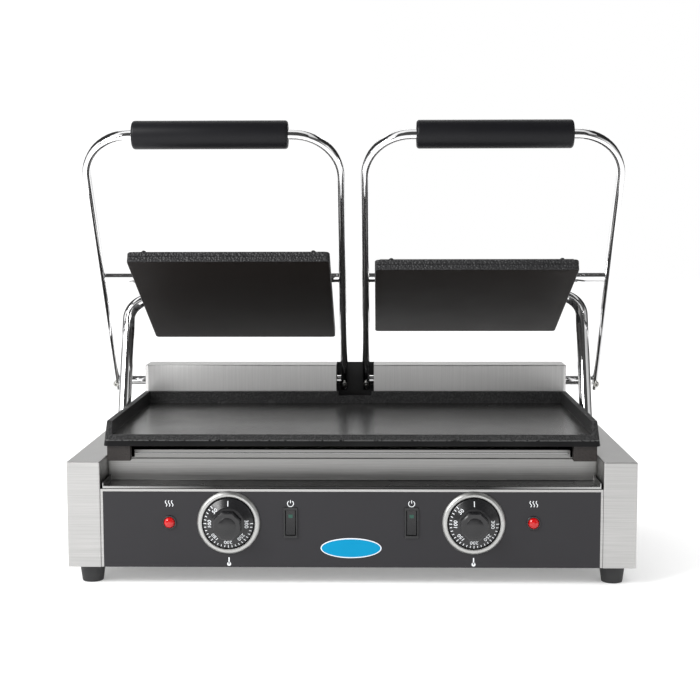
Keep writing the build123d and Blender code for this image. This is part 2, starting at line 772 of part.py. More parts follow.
# Rocker switches: a housing clipped into the panel and a rocker on its own two pins
rocker_pivot_y = film_face_y - switch_rim - rocker_proud + rocker_depth / 2
window_width = rocker_width + 2 * rocker_gap
window_height = rocker_height + 2 * rocker_gap
pin_hole_reach = rocker_width / 2 + rocker_pin_length + side_gap
with BuildPart() as switch_housings:
    with BuildSketch(facing_plane(film_face_y)):
        with Locations(*[(sign * switch_x, control_height) for sign in sides.values()]):
            RectangleRounded(switch_width, switch_height, switch_corner_radius)
    extrude(amount=switch_rim, taper=switch_taper)
    with BuildSketch(facing_plane(film_face_y)):
        with Locations(*[(sign * switch_x, control_height) for sign in sides.values()]):
            Rectangle(switch_width - 2 * switch_lip, switch_height - 2 * switch_lip)
    extrude(amount=-switch_body_depth)
    with BuildSketch(facing_plane(film_face_y - switch_rim)):
        with Locations(*[(sign * switch_x, control_height) for sign in sides.values()]):
            Rectangle(window_width, window_height)
    extrude(amount=-(switch_rim + rocker_depth + rocker_well_spare), mode=Mode.SUBTRACT)
    for sign in sides.values():
        with BuildSketch(side_plane(sign * switch_x)):
            with Locations((rocker_pivot_y, control_height)):
                Circle(rocker_pin_radius + running_gap)
        extrude(amount=pin_hole_reach, both=True, mode=Mode.SUBTRACT)
switch_housings.part.label = "switch_housings"
export_step(switch_housings.part, "parts/switch_housings.step")

for side, sign in sides.items():
    rocker_axis = Plane(
        origin=(sign * switch_x, rocker_pivot_y, control_height),
        x_dir=(0, cos(radians(rocker_tilt)), -sin(radians(rocker_tilt))),
        z_dir=(1, 0, 0),
    )
    with BuildPart() as rocker:
        with BuildSketch(rocker_axis):
            with BuildLine():
                Polyline(
                    (rocker_depth / 2, rocker_height / 2 - rocker_heel),
                    (-rocker_depth / 2, rocker_height / 2),
                    (-rocker_depth / 2 + rocker_dish, 0),
                    (-rocker_depth / 2, -rocker_height / 2),
                    (rocker_depth / 2, -rocker_height / 2 + rocker_heel),
                    close=True,
                )
            make_face()
        extrude(amount=rocker_width / 2, both=True)
        with BuildSketch(rocker_axis):
            Circle(rocker_pin_radius)
        extrude(amount=rocker_width / 2 + rocker_pin_length, both=True)
    rocker.part.label = f"{side}_rocker"
    export_step(rocker.part, f"parts/{side}_rocker.step")


# Bare oval badge plate
with BuildPart() as badge_plate:
    with BuildSketch(facing_plane(film_face_y)):
        with Locations((0, badge_z)):
            Ellipse(badge_length / 2, badge_height / 2)
    extrude(amount=badge_thickness)
badge_plate.part.label = "badge_plate"
export_step(badge_plate.part, "parts/badge_plate.step")


# Feet, each with a screw up into the pan
with BuildPart() as rubber_feet:
    for place in foot_places:
        with BuildSketch(Plane.XY):
            with Locations(place):
                Circle(foot_bottom_radius)
        with BuildSketch(Plane.XY.offset(foot_height)):
            with Locations(place):
                Circle(foot_top_radius)
        loft()
    with BuildSketch(Plane.XY):
        with Locations(*foot_places):
            Circle(foot_head_radius + seat_gap)
    extrude(amount=foot_height / 2, mode=Mode.SUBTRACT)
    with BuildSketch(Plane.XY.offset(foot_height / 2)):
        with Locations(*foot_places):
            Circle(foot_screw_radius + seat_gap / 2)
    extrude(amount=foot_height / 2, mode=Mode.SUBTRACT)
rubber_feet.part.label = "rubber_feet"
export_step(rubber_feet.part, "parts/rubber_feet.step")

with BuildPart() as foot_screws:
    with BuildSketch(Plane.XY.offset(foot_height / 2)):
        with Locations(*foot_places):
            Circle(foot_head_radius)
    extrude(amount=-foot_head_height)
    with BuildSketch(Plane.XY.offset(foot_height / 2)):
        with Locations(*foot_places):
            Circle(foot_screw_radius)
    extrude(amount=foot_height / 2 + sheet + foot_screw_spare)
foot_screws.part.label = "foot_screws"
export_step(foot_screws.part, "parts/foot_screws.step")


# Cable gland in the rear panel and the terminal block behind it
with BuildPart() as cable_gland:
    with BuildSketch(facing_plane(rear_face_y - sheet - gland_inner_nut)):
        with Locations((gland_x, gland_height)):
            Circle(gland_thread_radius)
    extrude(amount=-(sheet + gland_inner_nut))
    with BuildSketch(facing_plane(rear_face_y)):
        with Locations((gland_x, gland_height)):
            RegularPolygon(gland_nut_radius, 6)
    extrude(amount=-gland_nut_length)
    with BuildSketch(facing_plane(rear_face_y - sheet)):
        with Locations((gland_x, gland_height)):
            RegularPolygon(gland_nut_radius, 6)
    extrude(amount=gland_inner_nut)
    with BuildSketch(facing_plane(rear_y)):
        with Locations((gland_x, gland_height)):
            Circle(gland_hole_radius)
    extrude(amount=2 * rear_setback + gland_inner_nut, mode=Mode.SUBTRACT)
cable_gland.part.label = "cable_gland"
export_step(cable_gland.part, "parts/cable_gland.step")

with BuildPart() as terminal_block:
    with BuildSketch(Plane.XY.offset(pan_top)):
        with Locations((gland_x, rear_face_y - terminal_inset)):
            Rectangle(terminal_size[0], terminal_size[1])
    extrude(amount=terminal_size[2])
terminal_block.part.label = "terminal_block"
export_step(terminal_block.part, "parts/terminal_block.step")


# Handles: a bent flat-oval bar, its shaft, its crossbar and its grip
leg_inner_face = inner_leg_x + bar_thickness / 2
for side, sign in sides.items():
    with BuildPart() as handle_bar:
        with BuildLine(handle_plane) as bar_line:
            FilletPolyline(
                (sign * inner_leg_x, -bar_tail),
                (sign * inner_leg_x, grip_reach),
                (sign * outer_leg_x, grip_reach),
                (sign * outer_leg_x, -bar_tail),
                radius=bar_bend_radius,
            )
        with BuildSketch(Plane(bar_line.line @ 0, x_dir=(1, 0, 0), z_dir=bar_line.line % 0)):
            SlotOverall(bar_breadth, bar_thickness, rotation=90)
        sweep(path=bar_line.line)
        with BuildSketch(side_plane(sign * inner_leg_x)):
            with Locations((shaft_y, shaft_height), (crossbar_y, crossbar_z)):
                Circle(spigot_radius + seat_gap / 4)
        extrude(amount=bar_thickness, both=True, mode=Mode.SUBTRACT)
        with BuildSketch(side_plane(sign * outer_leg_x)):
            with Locations((shaft_y, shaft_height), (crossbar_y, crossbar_z)):
                Circle(spigot_radius + seat_gap / 4)
        extrude(amount=bar_thickness, both=True, mode=Mode.SUBTRACT)
    handle_bar.part.label = f"{side}_handle_bar"
    export_step(handle_bar.part, f"parts/{side}_handle_bar.step")

    with BuildPart() as hinge_shaft:
        with BuildSketch(side_plane(sign * leg_inner_face)):
            with Locations((shaft_y, shaft_height)):
                Circle(shaft_radius)
        extrude(amount=sign * leg_gap)
        with BuildSketch(side_plane(sign * (leg_inner_face - bar_thickness + spigot_end_inset))):
            with Locations((shaft_y, shaft_height)):
                Circle(spigot_radius)
        extrude(amount=sign * (leg_gap + 2 * (bar_thickness - spigot_end_inset)))
    hinge_shaft.part.label = f"{side}_hinge_shaft"
    export_step(hinge_shaft.part, f"parts/{side}_hinge_shaft.step")

    with BuildPart() as crossbar:
        with BuildSketch(side_plane(sign * leg_inner_face)):
            with Locations((crossbar_y, crossbar_z)):
                Circle(crossbar_radius)
        extrude(amount=sign * leg_gap)
        with BuildSketch(side_plane(sign * (leg_inner_face - bar_thickness + spigot_end_inset))):
            with Locations((crossbar_y, crossbar_z)):
                Circle(spigot_radius)
        extrude(amount=sign * (leg_gap + 2 * (bar_thickness - spigot_end_inset)))
    crossbar.part.label = f"{side}_crossbar"
    export_step(crossbar.part, f"parts/{side}_crossbar.step")

    grip_y = shaft_y - grip_reach * sin(radians(handle_lean))
    grip_z = shaft_height + grip_reach * cos(radians(handle_lean))
    grip_face = Plane(
        origin=(sign * (handle_middle_x - grip_length / 2), grip_y, grip_z),
        x_dir=handle_plane.y_dir,
        z_dir=(sign, 0, 0),
    )
    with BuildPart() as grip:
        with BuildSketch(grip_face):
            Circle(grip_radius)
        extrude(amount=grip_length)
        fillet(grip.edges(), grip_edge_radius)
        with BuildSketch(grip_face):
            SlotOverall(bar_breadth + seat_gap, bar_thickness + seat_gap, rotation=90)
        extrude(amount=grip_length, mode=Mode.SUBTRACT)
    grip.part.label = f"{side}_grip"
    export_step(grip.part, f"parts/{side}_grip.step")

    with BuildPart() as leg_set_screws:
        with BuildSketch(handle_plane.offset(bar_breadth / 2)):
            with Locations((sign * inner_leg_x, 0), (sign * outer_leg_x, 0)):
                Circle(set_screw_radius)
                RegularPolygon(set_screw_socket, 6, mode=Mode.SUBTRACT)
        extrude(amount=set_screw_height)
    leg_set_screws.part.label = f"{side}_leg_set_screws"
    export_step(leg_set_screws.part, f"parts/{side}_leg_set_screws.step")


# Upper plates: a casting, its cover, its element and the brackets that hang on the crossbar
def platen_plane(side, sign, height=0.0):
    """Sketch plane parallel to an upper plate's cooking face, Y towards its rear."""
    origin = platen_point(side, 0, height, sign * platen_middle_x)
    return Plane(origin=origin, x_dir=(1, 0, 0), z_dir=platen_axes(side)[1])


def platen_side_plane(side, x):
    """Sketch plane square to X, with the plate's own length and height as its axes."""
    return Plane(origin=platen_point(side, 0, 0, x), x_dir=platen_axes(side)[0], z_dir=(1, 0, 0))


element_height = platen_thickness + seat_gap + element_radius
clamp_height = element_height + element_radius + seat_gap
stud_spread = platen_width / 2 - platen_element_inset - stud_from_element
stud_rows = (clamp_front + stud_inset, platen_depth - clamp_inset - stud_inset)
stud_places = [(sign * stud_spread, y) for sign in sides.values() for y in stud_rows]
for side, sign in sides.items():
    middle_x = sign * platen_middle_x
    up_axis = Axis((0, 0, 0), platen_axes(side)[1])
    with BuildPart() as platen_casting:
        with BuildSketch(platen_plane(side, sign)):
            with Locations((0, platen_depth / 2)):
                RectangleRounded(platen_width, platen_depth, platen_corner_radius)
        extrude(amount=platen_thickness)
        chamfer(platen_casting.faces().sort_by(up_axis)[-1].edges(), platen_edge_break)
        fillet(platen_casting.faces().sort_by(up_axis)[0].edges(), platen_edge_break)
        with BuildSketch(platen_plane(side, sign, platen_thickness / 2)):
            with Locations((0, platen_depth / 2)):
                RectangleRounded(
                    platen_width + 2 * platen_groove,
                    platen_depth + 2 * platen_groove,
                    platen_corner_radius + platen_groove,
                )
                RectangleRounded(
                    platen_width - 2 * platen_groove,
                    platen_depth - 2 * platen_groove,
                    platen_corner_radius - platen_groove,
                    mode=Mode.SUBTRACT,
                )
        extrude(amount=platen_groove, mode=Mode.SUBTRACT)
    platen_casting.part.label = f"{side}_platen_casting"
    export_step(platen_casting.part, f"parts/{side}_platen_casting.step")

    with BuildPart() as platen_cover:
        with BuildSketch(platen_side_plane(side, middle_x)):
            with BuildLine():
                Polyline(
                    (cover_inset, platen_thickness),
                    (cover_inset, platen_thickness + cover_front_height),
                    (cover_slope_end, cover_top),
                    (platen_depth - cover_inset, cover_top),
                    (platen_depth - cover_inset, platen_thickness),
                    close=True,
                )
            make_face()
        extrude(amount=cover_width / 2, both=True)
        offset(amount=-sheet, openings=platen_cover.faces().sort_by(up_axis)[0])
        with BuildSketch(platen_side_plane(side, middle_x)):
            with Locations((pivot_from_front, pivot_height)):
                Circle(crossbar_radius + wall_hole_gap)
        extrude(amount=cover_width, both=True, mode=Mode.SUBTRACT)
        with BuildSketch(platen_side_plane(side, sign * (cover_side_x - conduit_entry))):
            with Locations((conduit_from_front, conduit_height)):
                Circle(conduit_radius + seat_gap)
        extrude(amount=sign * (conduit_entry + sheet), mode=Mode.SUBTRACT)
    platen_cover.part.label = f"{side}_platen_cover"
    export_step(platen_cover.part, f"parts/{side}_platen_cover.step")

    element_plane = platen_plane(side, sign, element_height)
    centred_plane = Plane(
        origin=element_plane.from_local_coords((0, platen_depth / 2, 0)),
        x_dir=element_plane.x_dir,
        z_dir=element_plane.z_dir,
    )
    half_reach = platen_width / 2 - platen_element_inset
    half_depth = platen_depth / 2 - platen_element_inset
    with BuildPart() as platen_element:
        route = element_path(centred_plane, half_reach, half_depth, element_bend)
        with BuildSketch(Plane(route.line @ 0, z_dir=route.line % 0)):
            Circle(element_radius)
        sweep(path=route.line)
    platen_element.part.label = f"{side}_platen_element"
    export_step(platen_element.part, f"parts/{side}_platen_element.step")

    clamp_depth = platen_depth - clamp_inset - clamp_front
    with BuildPart() as platen_clamp_plate:
        with BuildSketch(platen_plane(side, sign, clamp_height)):
            with Locations((0, clamp_front + clamp_depth / 2)):
                Rectangle(platen_width - 2 * clamp_inset, clamp_depth)
            with Locations(*stud_places):
                Circle(bolt_radius + seat_gap, mode=Mode.SUBTRACT)
        extrude(amount=clamp_sheet)
    platen_clamp_plate.part.label = f"{side}_platen_clamp_plate"
    export_step(platen_clamp_plate.part, f"parts/{side}_platen_clamp_plate.step")

    with BuildPart() as platen_studs:
        with BuildSketch(platen_plane(side, sign, platen_thickness)):
            with Locations(*stud_places):
                Circle(bolt_radius)
        extrude(amount=clamp_height + clamp_sheet - platen_thickness + bolt_head_height)
        with BuildSketch(platen_plane(side, sign, clamp_height + clamp_sheet)):
            with Locations(*stud_places):
                RegularPolygon(bolt_head_radius, 6)
        extrude(amount=bolt_head_height / 2)
    platen_studs.part.label = f"{side}_platen_studs"
    export_step(platen_studs.part, f"parts/{side}_platen_studs.step")

    with BuildPart() as pivot_brackets:
        for end in (-1, 1):
            bracket_x = middle_x + end * (platen_width / 2 - bracket_inset)
            with BuildSketch(platen_side_plane(side, bracket_x)):
                with Locations((pivot_from_front, (platen_thickness + pivot_height) / 2)):
                    Rectangle(2 * bracket_half_length, pivot_height - platen_thickness)
                with Locations((pivot_from_front, pivot_height)):
                    Circle(crossbar_radius + bracket_wall)
                    Circle(crossbar_radius + running_gap, mode=Mode.SUBTRACT)
            extrude(amount=bracket_thickness / 2, both=True)
    pivot_brackets.part.label = f"{side}_pivot_brackets"
    export_step(pivot_brackets.part, f"parts/{side}_pivot_brackets.step")


# Conduit tubes: out of a cover's side, over a bend and down through the casing's grommet
for side, sign in sides.items():
    lean = radians(conduit_lean[side])
    start = platen_point(side, conduit_from_front, conduit_height, sign * (cover_side_x - conduit_entry))
    corner = Vector(sign * conduit_x, start.Y, start.Z)
    drop = (start.Z - casing_top + conduit_end_drop) / cos(lean)
    finish = corner + Vector(0, -sin(lean), -cos(lean)) * drop
    with BuildPart() as conduit_tube:
        with BuildLine() as conduit_line:
            FilletPolyline(start, corner, finish, radius=conduit_bend_radius)
        with BuildSketch(Plane(conduit_line.line @ 0, z_dir=conduit_line.line % 0)):
            Circle(conduit_radius)
            Circle(conduit_bore_radius, mode=Mode.SUBTRACT)
        sweep(path=conduit_line.line)
    conduit_tube.part.label = f"{side}_conduit_tube"
    export_step(conduit_tube.part, f"parts/{side}_conduit_tube.step")

    with BuildPart() as conduit_nut:
        with BuildSketch(platen_side_plane(side, sign * cover_side_x)):
            with Locations((conduit_from_front, conduit_height)):
                RegularPolygon(nut_radius, 6)
                Circle(conduit_radius + seat_gap / 2, mode=Mode.SUBTRACT)
        extrude(amount=sign * nut_thickness)
    conduit_nut.part.label = f"{side}_conduit_nut"
    export_step(conduit_nut.part, f"parts/{side}_conduit_nut.step")
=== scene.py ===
# %% [markdown]
# A double contact grill, dressed for its portrait.
# The imported CAD model is the frame: every piece made here takes its place from it and
# rides on one of its bodies. Everything is in metres.

# %% Load the frame
import json
from math import atan2, cos, hypot, pi, radians, sin, tan

import bmesh
import bpy
from mathutils import Matrix, Vector


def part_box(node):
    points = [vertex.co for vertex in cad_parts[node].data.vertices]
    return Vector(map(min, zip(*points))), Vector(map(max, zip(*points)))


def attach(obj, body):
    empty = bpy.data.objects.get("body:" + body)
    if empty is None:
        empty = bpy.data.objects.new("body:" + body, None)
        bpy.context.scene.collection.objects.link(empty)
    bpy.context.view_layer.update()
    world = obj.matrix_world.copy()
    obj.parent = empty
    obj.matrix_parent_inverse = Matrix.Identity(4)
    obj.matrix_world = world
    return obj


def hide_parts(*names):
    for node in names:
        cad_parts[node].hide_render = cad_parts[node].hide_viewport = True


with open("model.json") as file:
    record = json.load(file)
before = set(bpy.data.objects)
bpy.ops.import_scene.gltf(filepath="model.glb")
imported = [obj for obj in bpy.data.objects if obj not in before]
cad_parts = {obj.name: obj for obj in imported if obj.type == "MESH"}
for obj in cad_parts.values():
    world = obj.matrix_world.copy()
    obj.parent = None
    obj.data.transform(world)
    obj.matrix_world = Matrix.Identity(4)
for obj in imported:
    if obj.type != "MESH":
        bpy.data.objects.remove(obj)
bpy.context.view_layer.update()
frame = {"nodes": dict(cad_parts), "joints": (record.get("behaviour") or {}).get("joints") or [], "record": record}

nodes = frame["nodes"]
joints = {joint["name"]: joint for joint in frame["joints"]}
sides = {"left": -1, "right": 1}
mm = 0.001

# %% [markdown]
# The camera stands a little to the right of the middle, lower than the grips, and looks
# slightly down. Its place was solved from the photograph together with the grill's sizes.
# The three turns are made as matrices, because that keeps their order plain. The plain
# view transform keeps the paper white and the badge a clear blue.

# %% Camera
camera_place = Vector((26.2, -1481.0, 366.2)) * mm
camera_yaw = -0.02003
camera_pitch = 0.09864
camera_roll = -0.00209
focal_pixels = 1387.9
frame_pixels = 700

camera_data = bpy.data.cameras.new("portrait_camera")
camera_data.sensor_width = 36.0
camera_data.lens = focal_pixels * camera_data.sensor_width / frame_pixels
camera = bpy.data.objects.new("portrait_camera", camera_data)
turn = Matrix.Rotation(-camera_yaw, 4, "Z") @ Matrix.Rotation(pi / 2 - camera_pitch, 4, "X")
camera.matrix_world = Matrix.Translation(camera_place) @ turn @ Matrix.Rotation(camera_roll, 4, "Z")
bpy.context.scene.collection.objects.link(camera)
bpy.context.scene.camera = camera
bpy.context.scene.view_settings.view_transform = "Standard"
print("lens in millimetres:", round(camera_data.lens, 2))

# %% [markdown]
# Materials are sums of signals. A Signal wraps one output socket, so that
# 0.4 + 0.2 * grain adds the two Math nodes by itself. A Finish is one material: its node()
# makes any other node, with the settings first and then the values or links of its sockets.

# %% Shader sums
class Signal:
    """One output of a shader node, with Python's operators."""

    def __init__(self, finish, socket):
        self.finish = finish
        self.socket = socket

    def math(self, operation, first, second):
        return self.finish.node("ShaderNodeMath", {"operation": operation}, {0: first, 1: second})

    def __add__(self, other):
        return self.math("ADD", self, other)

    def __radd__(self, other):
        return self.math("ADD", other, self)

    def __sub__(self, other):
        return self.math("SUBTRACT", self, other)

    def __rsub__(self, other):
        return self.math("SUBTRACT", other, self)

    def __mul__(self, other):
        return self.math("MULTIPLY", self, other)

    def __rmul__(self, other):
        return self.math("MULTIPLY", other, self)

    def __gt__(self, other):
        return self.math("GREATER_THAN", self, other)

    def __lt__(self, other):
        return self.math("LESS_THAN", self, other)

    def absolute(self):
        return self.math("ABSOLUTE", self, 0.0)

    def maximum(self, other):
        return self.math("MAXIMUM", self, other)

    def minimum(self, other):
        return self.math("MINIMUM", self, other)


class Finish:
    """One material, made node by node."""

    def __init__(self, name, **constants):
        self.material = bpy.data.materials.new(name)
        self.material.use_nodes = True
        self.tree = self.material.node_tree
        self.shader = self.tree.nodes["Principled BSDF"]
        for socket_name, value in constants.items():
            self.shader.inputs[socket_name.replace("_", " ")].default_value = value

    def node(self, kind, settings=None, sockets=None, output=0):
        made = self.tree.nodes.new(kind)
        for key, value in (settings or {}).items():
            setattr(made, key, value)
        for key, value in (sockets or {}).items():
            if isinstance(value, Signal):
                self.tree.links.new(value.socket, made.inputs[key])
            else:
                made.inputs[key].default_value = value
        return Signal(self, made.outputs[output])

    def feed(self, socket_name, signal):
        self.tree.links.new(signal.socket, self.shader.inputs[socket_name])

    def place(self, stretch=(1.0, 1.0, 1.0)):
        """Where a point lies on the object, in metres, stretched along each axis."""
        here = self.node("ShaderNodeTexCoord", output="Object")
        return self.node("ShaderNodeVectorMath", {"operation": "MULTIPLY"}, {0: here, 1: stretch})

    def place_along(self, axis):
        """One coordinate of that place: 0, 1 or 2 for X, Y or Z."""
        return self.node("ShaderNodeSeparateXYZ", None, {0: self.place()}, output=axis)

    def noise(self, scale, detail=2.0, stretch=(1.0, 1.0, 1.0)):
        sockets = {"Vector": self.place(stretch), "Scale": scale, "Detail": detail}
        return self.node("ShaderNodeTexNoise", None, sockets)

    def cells(self, scale):
        return self.node("ShaderNodeTexVoronoi", None, {"Vector": self.place(), "Scale": scale})

    def tint(self, signal, dark, light):
        """Base colour that runs from dark to light as the signal runs from 0 to 1."""
        sockets = {0: signal, 6: (*dark, 1.0), 7: (*light, 1.0)}
        self.feed("Base Color", self.node("ShaderNodeMix", {"data_type": "RGBA"}, sockets, output=2))

    def bump(self, height, strength, distance):
        sockets = {"Height": height, "Strength": strength, "Distance": distance}
        self.feed("Normal", self.node("ShaderNodeBump", None, sockets))


print("shader helpers ready")

# %% [markdown]
# Stainless sheet is brushed in one direction. Noise that is squeezed across the grain and
# drawn out along it gives long streaks, which change the colour, the roughness and the
# surface a little. The grain direction differs from sheet to sheet, so it is an argument.
# Zinc, turned rings and heater sheaths have no grain, only a fine speckle.

# %% Brushed stainless
coarse = 900.0
fine = 14.0
grain_level = (fine, fine, coarse)
grain_upright = (coarse, fine, fine)
grain_along = (fine, coarse, coarse)


def speckle(scale):
    """No grain: the same scale along every axis."""
    return (scale, scale, scale)


def brushed(name, grain, dark=(0.30, 0.297, 0.293), light=(0.62, 0.616, 0.608), roughness=0.25):
    finish = Finish(name, Metallic=1.0)
    streaks = finish.noise(1.0, 4.0, grain)
    clouds = finish.noise(9.0, 2.0)
    finish.tint(0.75 * streaks + 0.25 * clouds, dark, light)
    finish.feed("Roughness", roughness + 0.16 * streaks + 0.04 * clouds)
    finish.bump(streaks, 0.12, 0.0002)
    return finish.material


steel_level = brushed("steel_level", grain_level)
steel_upright = brushed("steel_upright", grain_upright)
steel_along = brushed("steel_along", grain_along)
# The tray's and the deck's copies are painted darker than the other steels: painted shade, as both sheets lie in
# shade.
shaded_tray_sheet = brushed("shaded_tray_sheet", grain_level, (0.20, 0.198, 0.195), (0.42, 0.417, 0.41))
shaded_deck_sheet = brushed("shaded_deck_sheet", grain_along, (0.17, 0.168, 0.165), (0.36, 0.357, 0.35))
# The housing's copy is painted lighter than the other steels: painted light.
lit_housing_steel = brushed("lit_housing_steel", grain_upright, (0.60, 0.597, 0.592), (0.84, 0.836, 0.828), 0.42)
pan_steel = brushed("pan_steel", grain_along, (0.3, 0.3, 0.3), (0.46, 0.46, 0.45), 0.4)
zinc = brushed("zinc", speckle(300.0), (0.42, 0.42, 0.40), (0.62, 0.61, 0.58), 0.26)
satin_aluminium = brushed("satin_aluminium", speckle(240.0), (0.44, 0.44, 0.43), (0.58, 0.58, 0.57), 0.3)
print("brushed steels made")

# %% [markdown]
# Polished chrome has no colour of its own, only a few finger marks that dull it a little.
# Cast iron is the opposite: black, with a pebbled skin where it was cast and a ground,
# seasoned face where it cooks. One function makes each of these, with the skin's depth given.

# %% Chrome and iron
chrome = Finish("chrome_finish", Metallic=1.0)
smears = chrome.noise(38.0, 3.0)
chrome.tint(smears, (0.80, 0.80, 0.81), (0.90, 0.90, 0.90))
chrome.feed("Roughness", 0.03 + 0.06 * smears)


def iron(name, dark, light, roughness, pebble_depth, pebble_scale=430.0, smear=0.1, **constants):
    finish = Finish(name, **constants)
    stain = finish.noise(22.0, 4.0)
    pebbles = finish.cells(pebble_scale)
    # The cells also lighten the colour. On the pebbled cast skin that is a painted highlight on each pebble.
    finish.tint(0.5 * stain + 0.5 * pebbles, dark, light)
    finish.feed("Roughness", roughness + smear * stain)
    finish.bump(pebbles, 0.8, pebble_depth)
    return finish.material


ground_scale = 900.0
ground_depth = 0.00005
iron_skin = iron(
    "iron_skin", (0.002, 0.002, 0.003), (0.034, 0.034, 0.035), 0.36, 0.0012, Specular_IOR_Level=0.3
)
iron_cooking_face = iron(
    "iron_cooking_face", (0.012, 0.012, 0.012), (0.028, 0.027, 0.026), 0.2,
    ground_depth, ground_scale, Specular_IOR_Level=0.8,
)
iron_platen_face = iron(
    "iron_platen_face", (0.007, 0.0055, 0.005), (0.013, 0.010, 0.009), 0.45,
    ground_depth, ground_scale, Specular_IOR_Level=0.08,
)
iron_skirt = iron("iron_skirt", (0.008, 0.006, 0.005), (0.020, 0.014, 0.012), 0.5, 0.0004)
print("chrome and iron made")

# %% [markdown]
# The plastics are moulded: a fine stipple breaks up their shine. The knobs, the film, the
# lenses and the prints are smoother, so theirs is much shallower.

# %% Plastics, rubber, film and lenses
def moulded(name, dark, light, roughness, stipple_depth=0.00008, stipple_scale=1500.0, **constants):
    finish = Finish(name, **constants)
    stipple = finish.noise(stipple_scale, 2.0)
    patches = finish.noise(30.0, 2.0)
    finish.tint(0.5 * stipple + 0.5 * patches, dark, light)
    finish.feed("Roughness", roughness + 0.1 * stipple + 0.06 * patches)
    finish.bump(stipple, 0.25, stipple_depth)
    return finish.material


faint = 0.00003
faintest = 0.00001
black_gloss = moulded("black_gloss", (0.006, 0.006, 0.007), (0.016, 0.016, 0.017), 0.16, faint)
black_satin = moulded(
    "black_satin", (0.003, 0.003, 0.004), (0.008, 0.008, 0.010), 0.34, Specular_IOR_Level=0.2
)
black_matt = moulded("black_matt", (0.009, 0.009, 0.010), (0.020, 0.020, 0.021), 0.42)
film = moulded(
    "film", (0.014, 0.0135, 0.016), (0.020, 0.019, 0.022), 0.4, faint, Specular_IOR_Level=0.35
)
foot_rubber = moulded("foot_rubber_finish", (0.010, 0.010, 0.011), (0.026, 0.026, 0.027), 0.55)
insulator = moulded("insulator", (0.38, 0.33, 0.26), (0.54, 0.49, 0.40), 0.5)
red_lens = moulded(
    "red_lens_finish", (0.34, 0.0, 0.002), (0.56, 0.004, 0.004), 0.06, faintest, Coat_Weight=0.3
)
green_lens = moulded("green_lens_finish", (0.002, 0.035, 0.022), (0.004, 0.07, 0.045), 0.12, faintest)
badge_blue = moulded(
    "badge_blue", (0.0, 0.22, 0.40), (0.0, 0.26, 0.48), 0.3, faintest, Specular_IOR_Level=0.12
)
white_print = moulded("white_print", (0.66, 0.68, 0.70), (0.84, 0.86, 0.88), 0.42, faintest)
badge_rim = moulded("badge_rim", (0.62, 0.66, 0.70), (0.76, 0.80, 0.84), 0.3, faintest)
sheath = brushed("sheath", speckle(200.0), (0.10, 0.085, 0.07), (0.24, 0.21, 0.18), 0.45)
spring_steel = brushed("spring_steel_finish", grain_along, (0.16, 0.16, 0.17), (0.32, 0.32, 0.33), 0.35)
bronze = brushed("bronze_finish", grain_along, (0.42, 0.28, 0.12), (0.60, 0.42, 0.20), 0.35)
print("plastics made")

# %% [markdown]
# Every imported node first gets the finish of its material slot. Nodes whose shape is already
# right stay like that. Some sheets override it, as each has its own grain direction. The tray's and
# the deck's finishes are also darker, as painted shade, and the housing's lighter, as painted light.

# %% Dress the imported nodes
finish_of_slot = {
    "brushed_stainless": steel_level, "inner_steel": pan_steel, "chrome_bar": chrome.material,
    "cast_iron": iron_skin, "fascia_film": film, "knob_plastic": black_gloss,
    "grip_plastic": black_satin, "black_plastic": black_matt, "control_plastic": insulator,
    "satin_ring": satin_aluminium, "red_lens": red_lens, "blue_badge": badge_blue,
    "foot_rubber": foot_rubber, "zinc_steel": zinc, "element_steel": sheath,
    "spring_steel": spring_steel, "bronze": bronze,
}
sheet_finish = {
    "hinge_housing": lit_housing_steel, "rear_panel": steel_upright, "top_deck": shaded_deck_sheet,
    "drip_tray": shaded_tray_sheet, "left_platen_cover": steel_along, "right_platen_cover": steel_along,
}
slot_of = {subpart["node"]: subpart["material_slot"] for subpart in frame["record"]["subparts"]}
body_of_node = {}
for body, members in frame["record"]["behaviour"]["bodies"].items():
    for member in members:
        body_of_node[member] = body


def finish_of_node(node):
    return sheet_finish.get(node, finish_of_slot[slot_of[node]])


for node, thing in nodes.items():
    if not thing.data.materials:
        thing.data.materials.append(None)
    for material_slot in thing.material_slots:
        material_slot.link = "OBJECT"
        material_slot.material = finish_of_node(node)
print("dressed nodes:", len(nodes))

# %% [markdown]
# New pieces all go the same way: a bmesh becomes an object, is shaded smooth up to a crease
# angle, gets its finishes, rides on its body and says what it replaces.
# A piece may have several finishes: a rule then picks one for each face.

# %% Making a piece
crease = radians(35)


def add_piece(name, mesh_builder, finishes, body, replaced=(), pick_finish=None):
    mesh = bpy.data.meshes.new(name)
    bmesh.ops.recalc_face_normals(mesh_builder, faces=mesh_builder.faces)
    mesh_builder.to_mesh(mesh)
    mesh_builder.free()
    for finish in finishes:
        mesh.materials.append(finish)
    for polygon in mesh.polygons:
        polygon.use_smooth = True
        if pick_finish:
            polygon.material_index = int(pick_finish(polygon.center, polygon.normal))
    mesh.set_sharp_from_angle(angle=crease)
    piece = bpy.data.objects.new(name, mesh)
    bpy.context.scene.collection.objects.link(piece)
    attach(piece, body)
    if replaced:
        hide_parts(*replaced)
    return piece


def box_of(node):
    """Lowest corner, highest corner and centre of a node, as vectors."""
    low, high = (Vector(corner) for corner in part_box(node))
    return low, high, (low + high) / 2


# %% [markdown]
# Folded sheet and castings have no knife edges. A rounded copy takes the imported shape,
# joins its flat triangles into whole faces and bevels the sharp edges, so that each edge
# catches a thin line of light, as the real one does. Where fold is given, the inner edges
# of a bent sheet get that wider round. Large faces then lead the shading, to look flat.

# %% Rounded copies
same_corner = 1e-6
flat_limit = radians(0.6)
sharp_limit = radians(32)
fold_segments = 3


def bevel_edges(builder, edges, width, segments):
    bmesh.ops.bevel(
        builder, geom=edges, offset=width, offset_type="OFFSET", segments=segments,
        affect="EDGES", profile=0.5, clamp_overlap=True, miter_outer="ARC",
    )


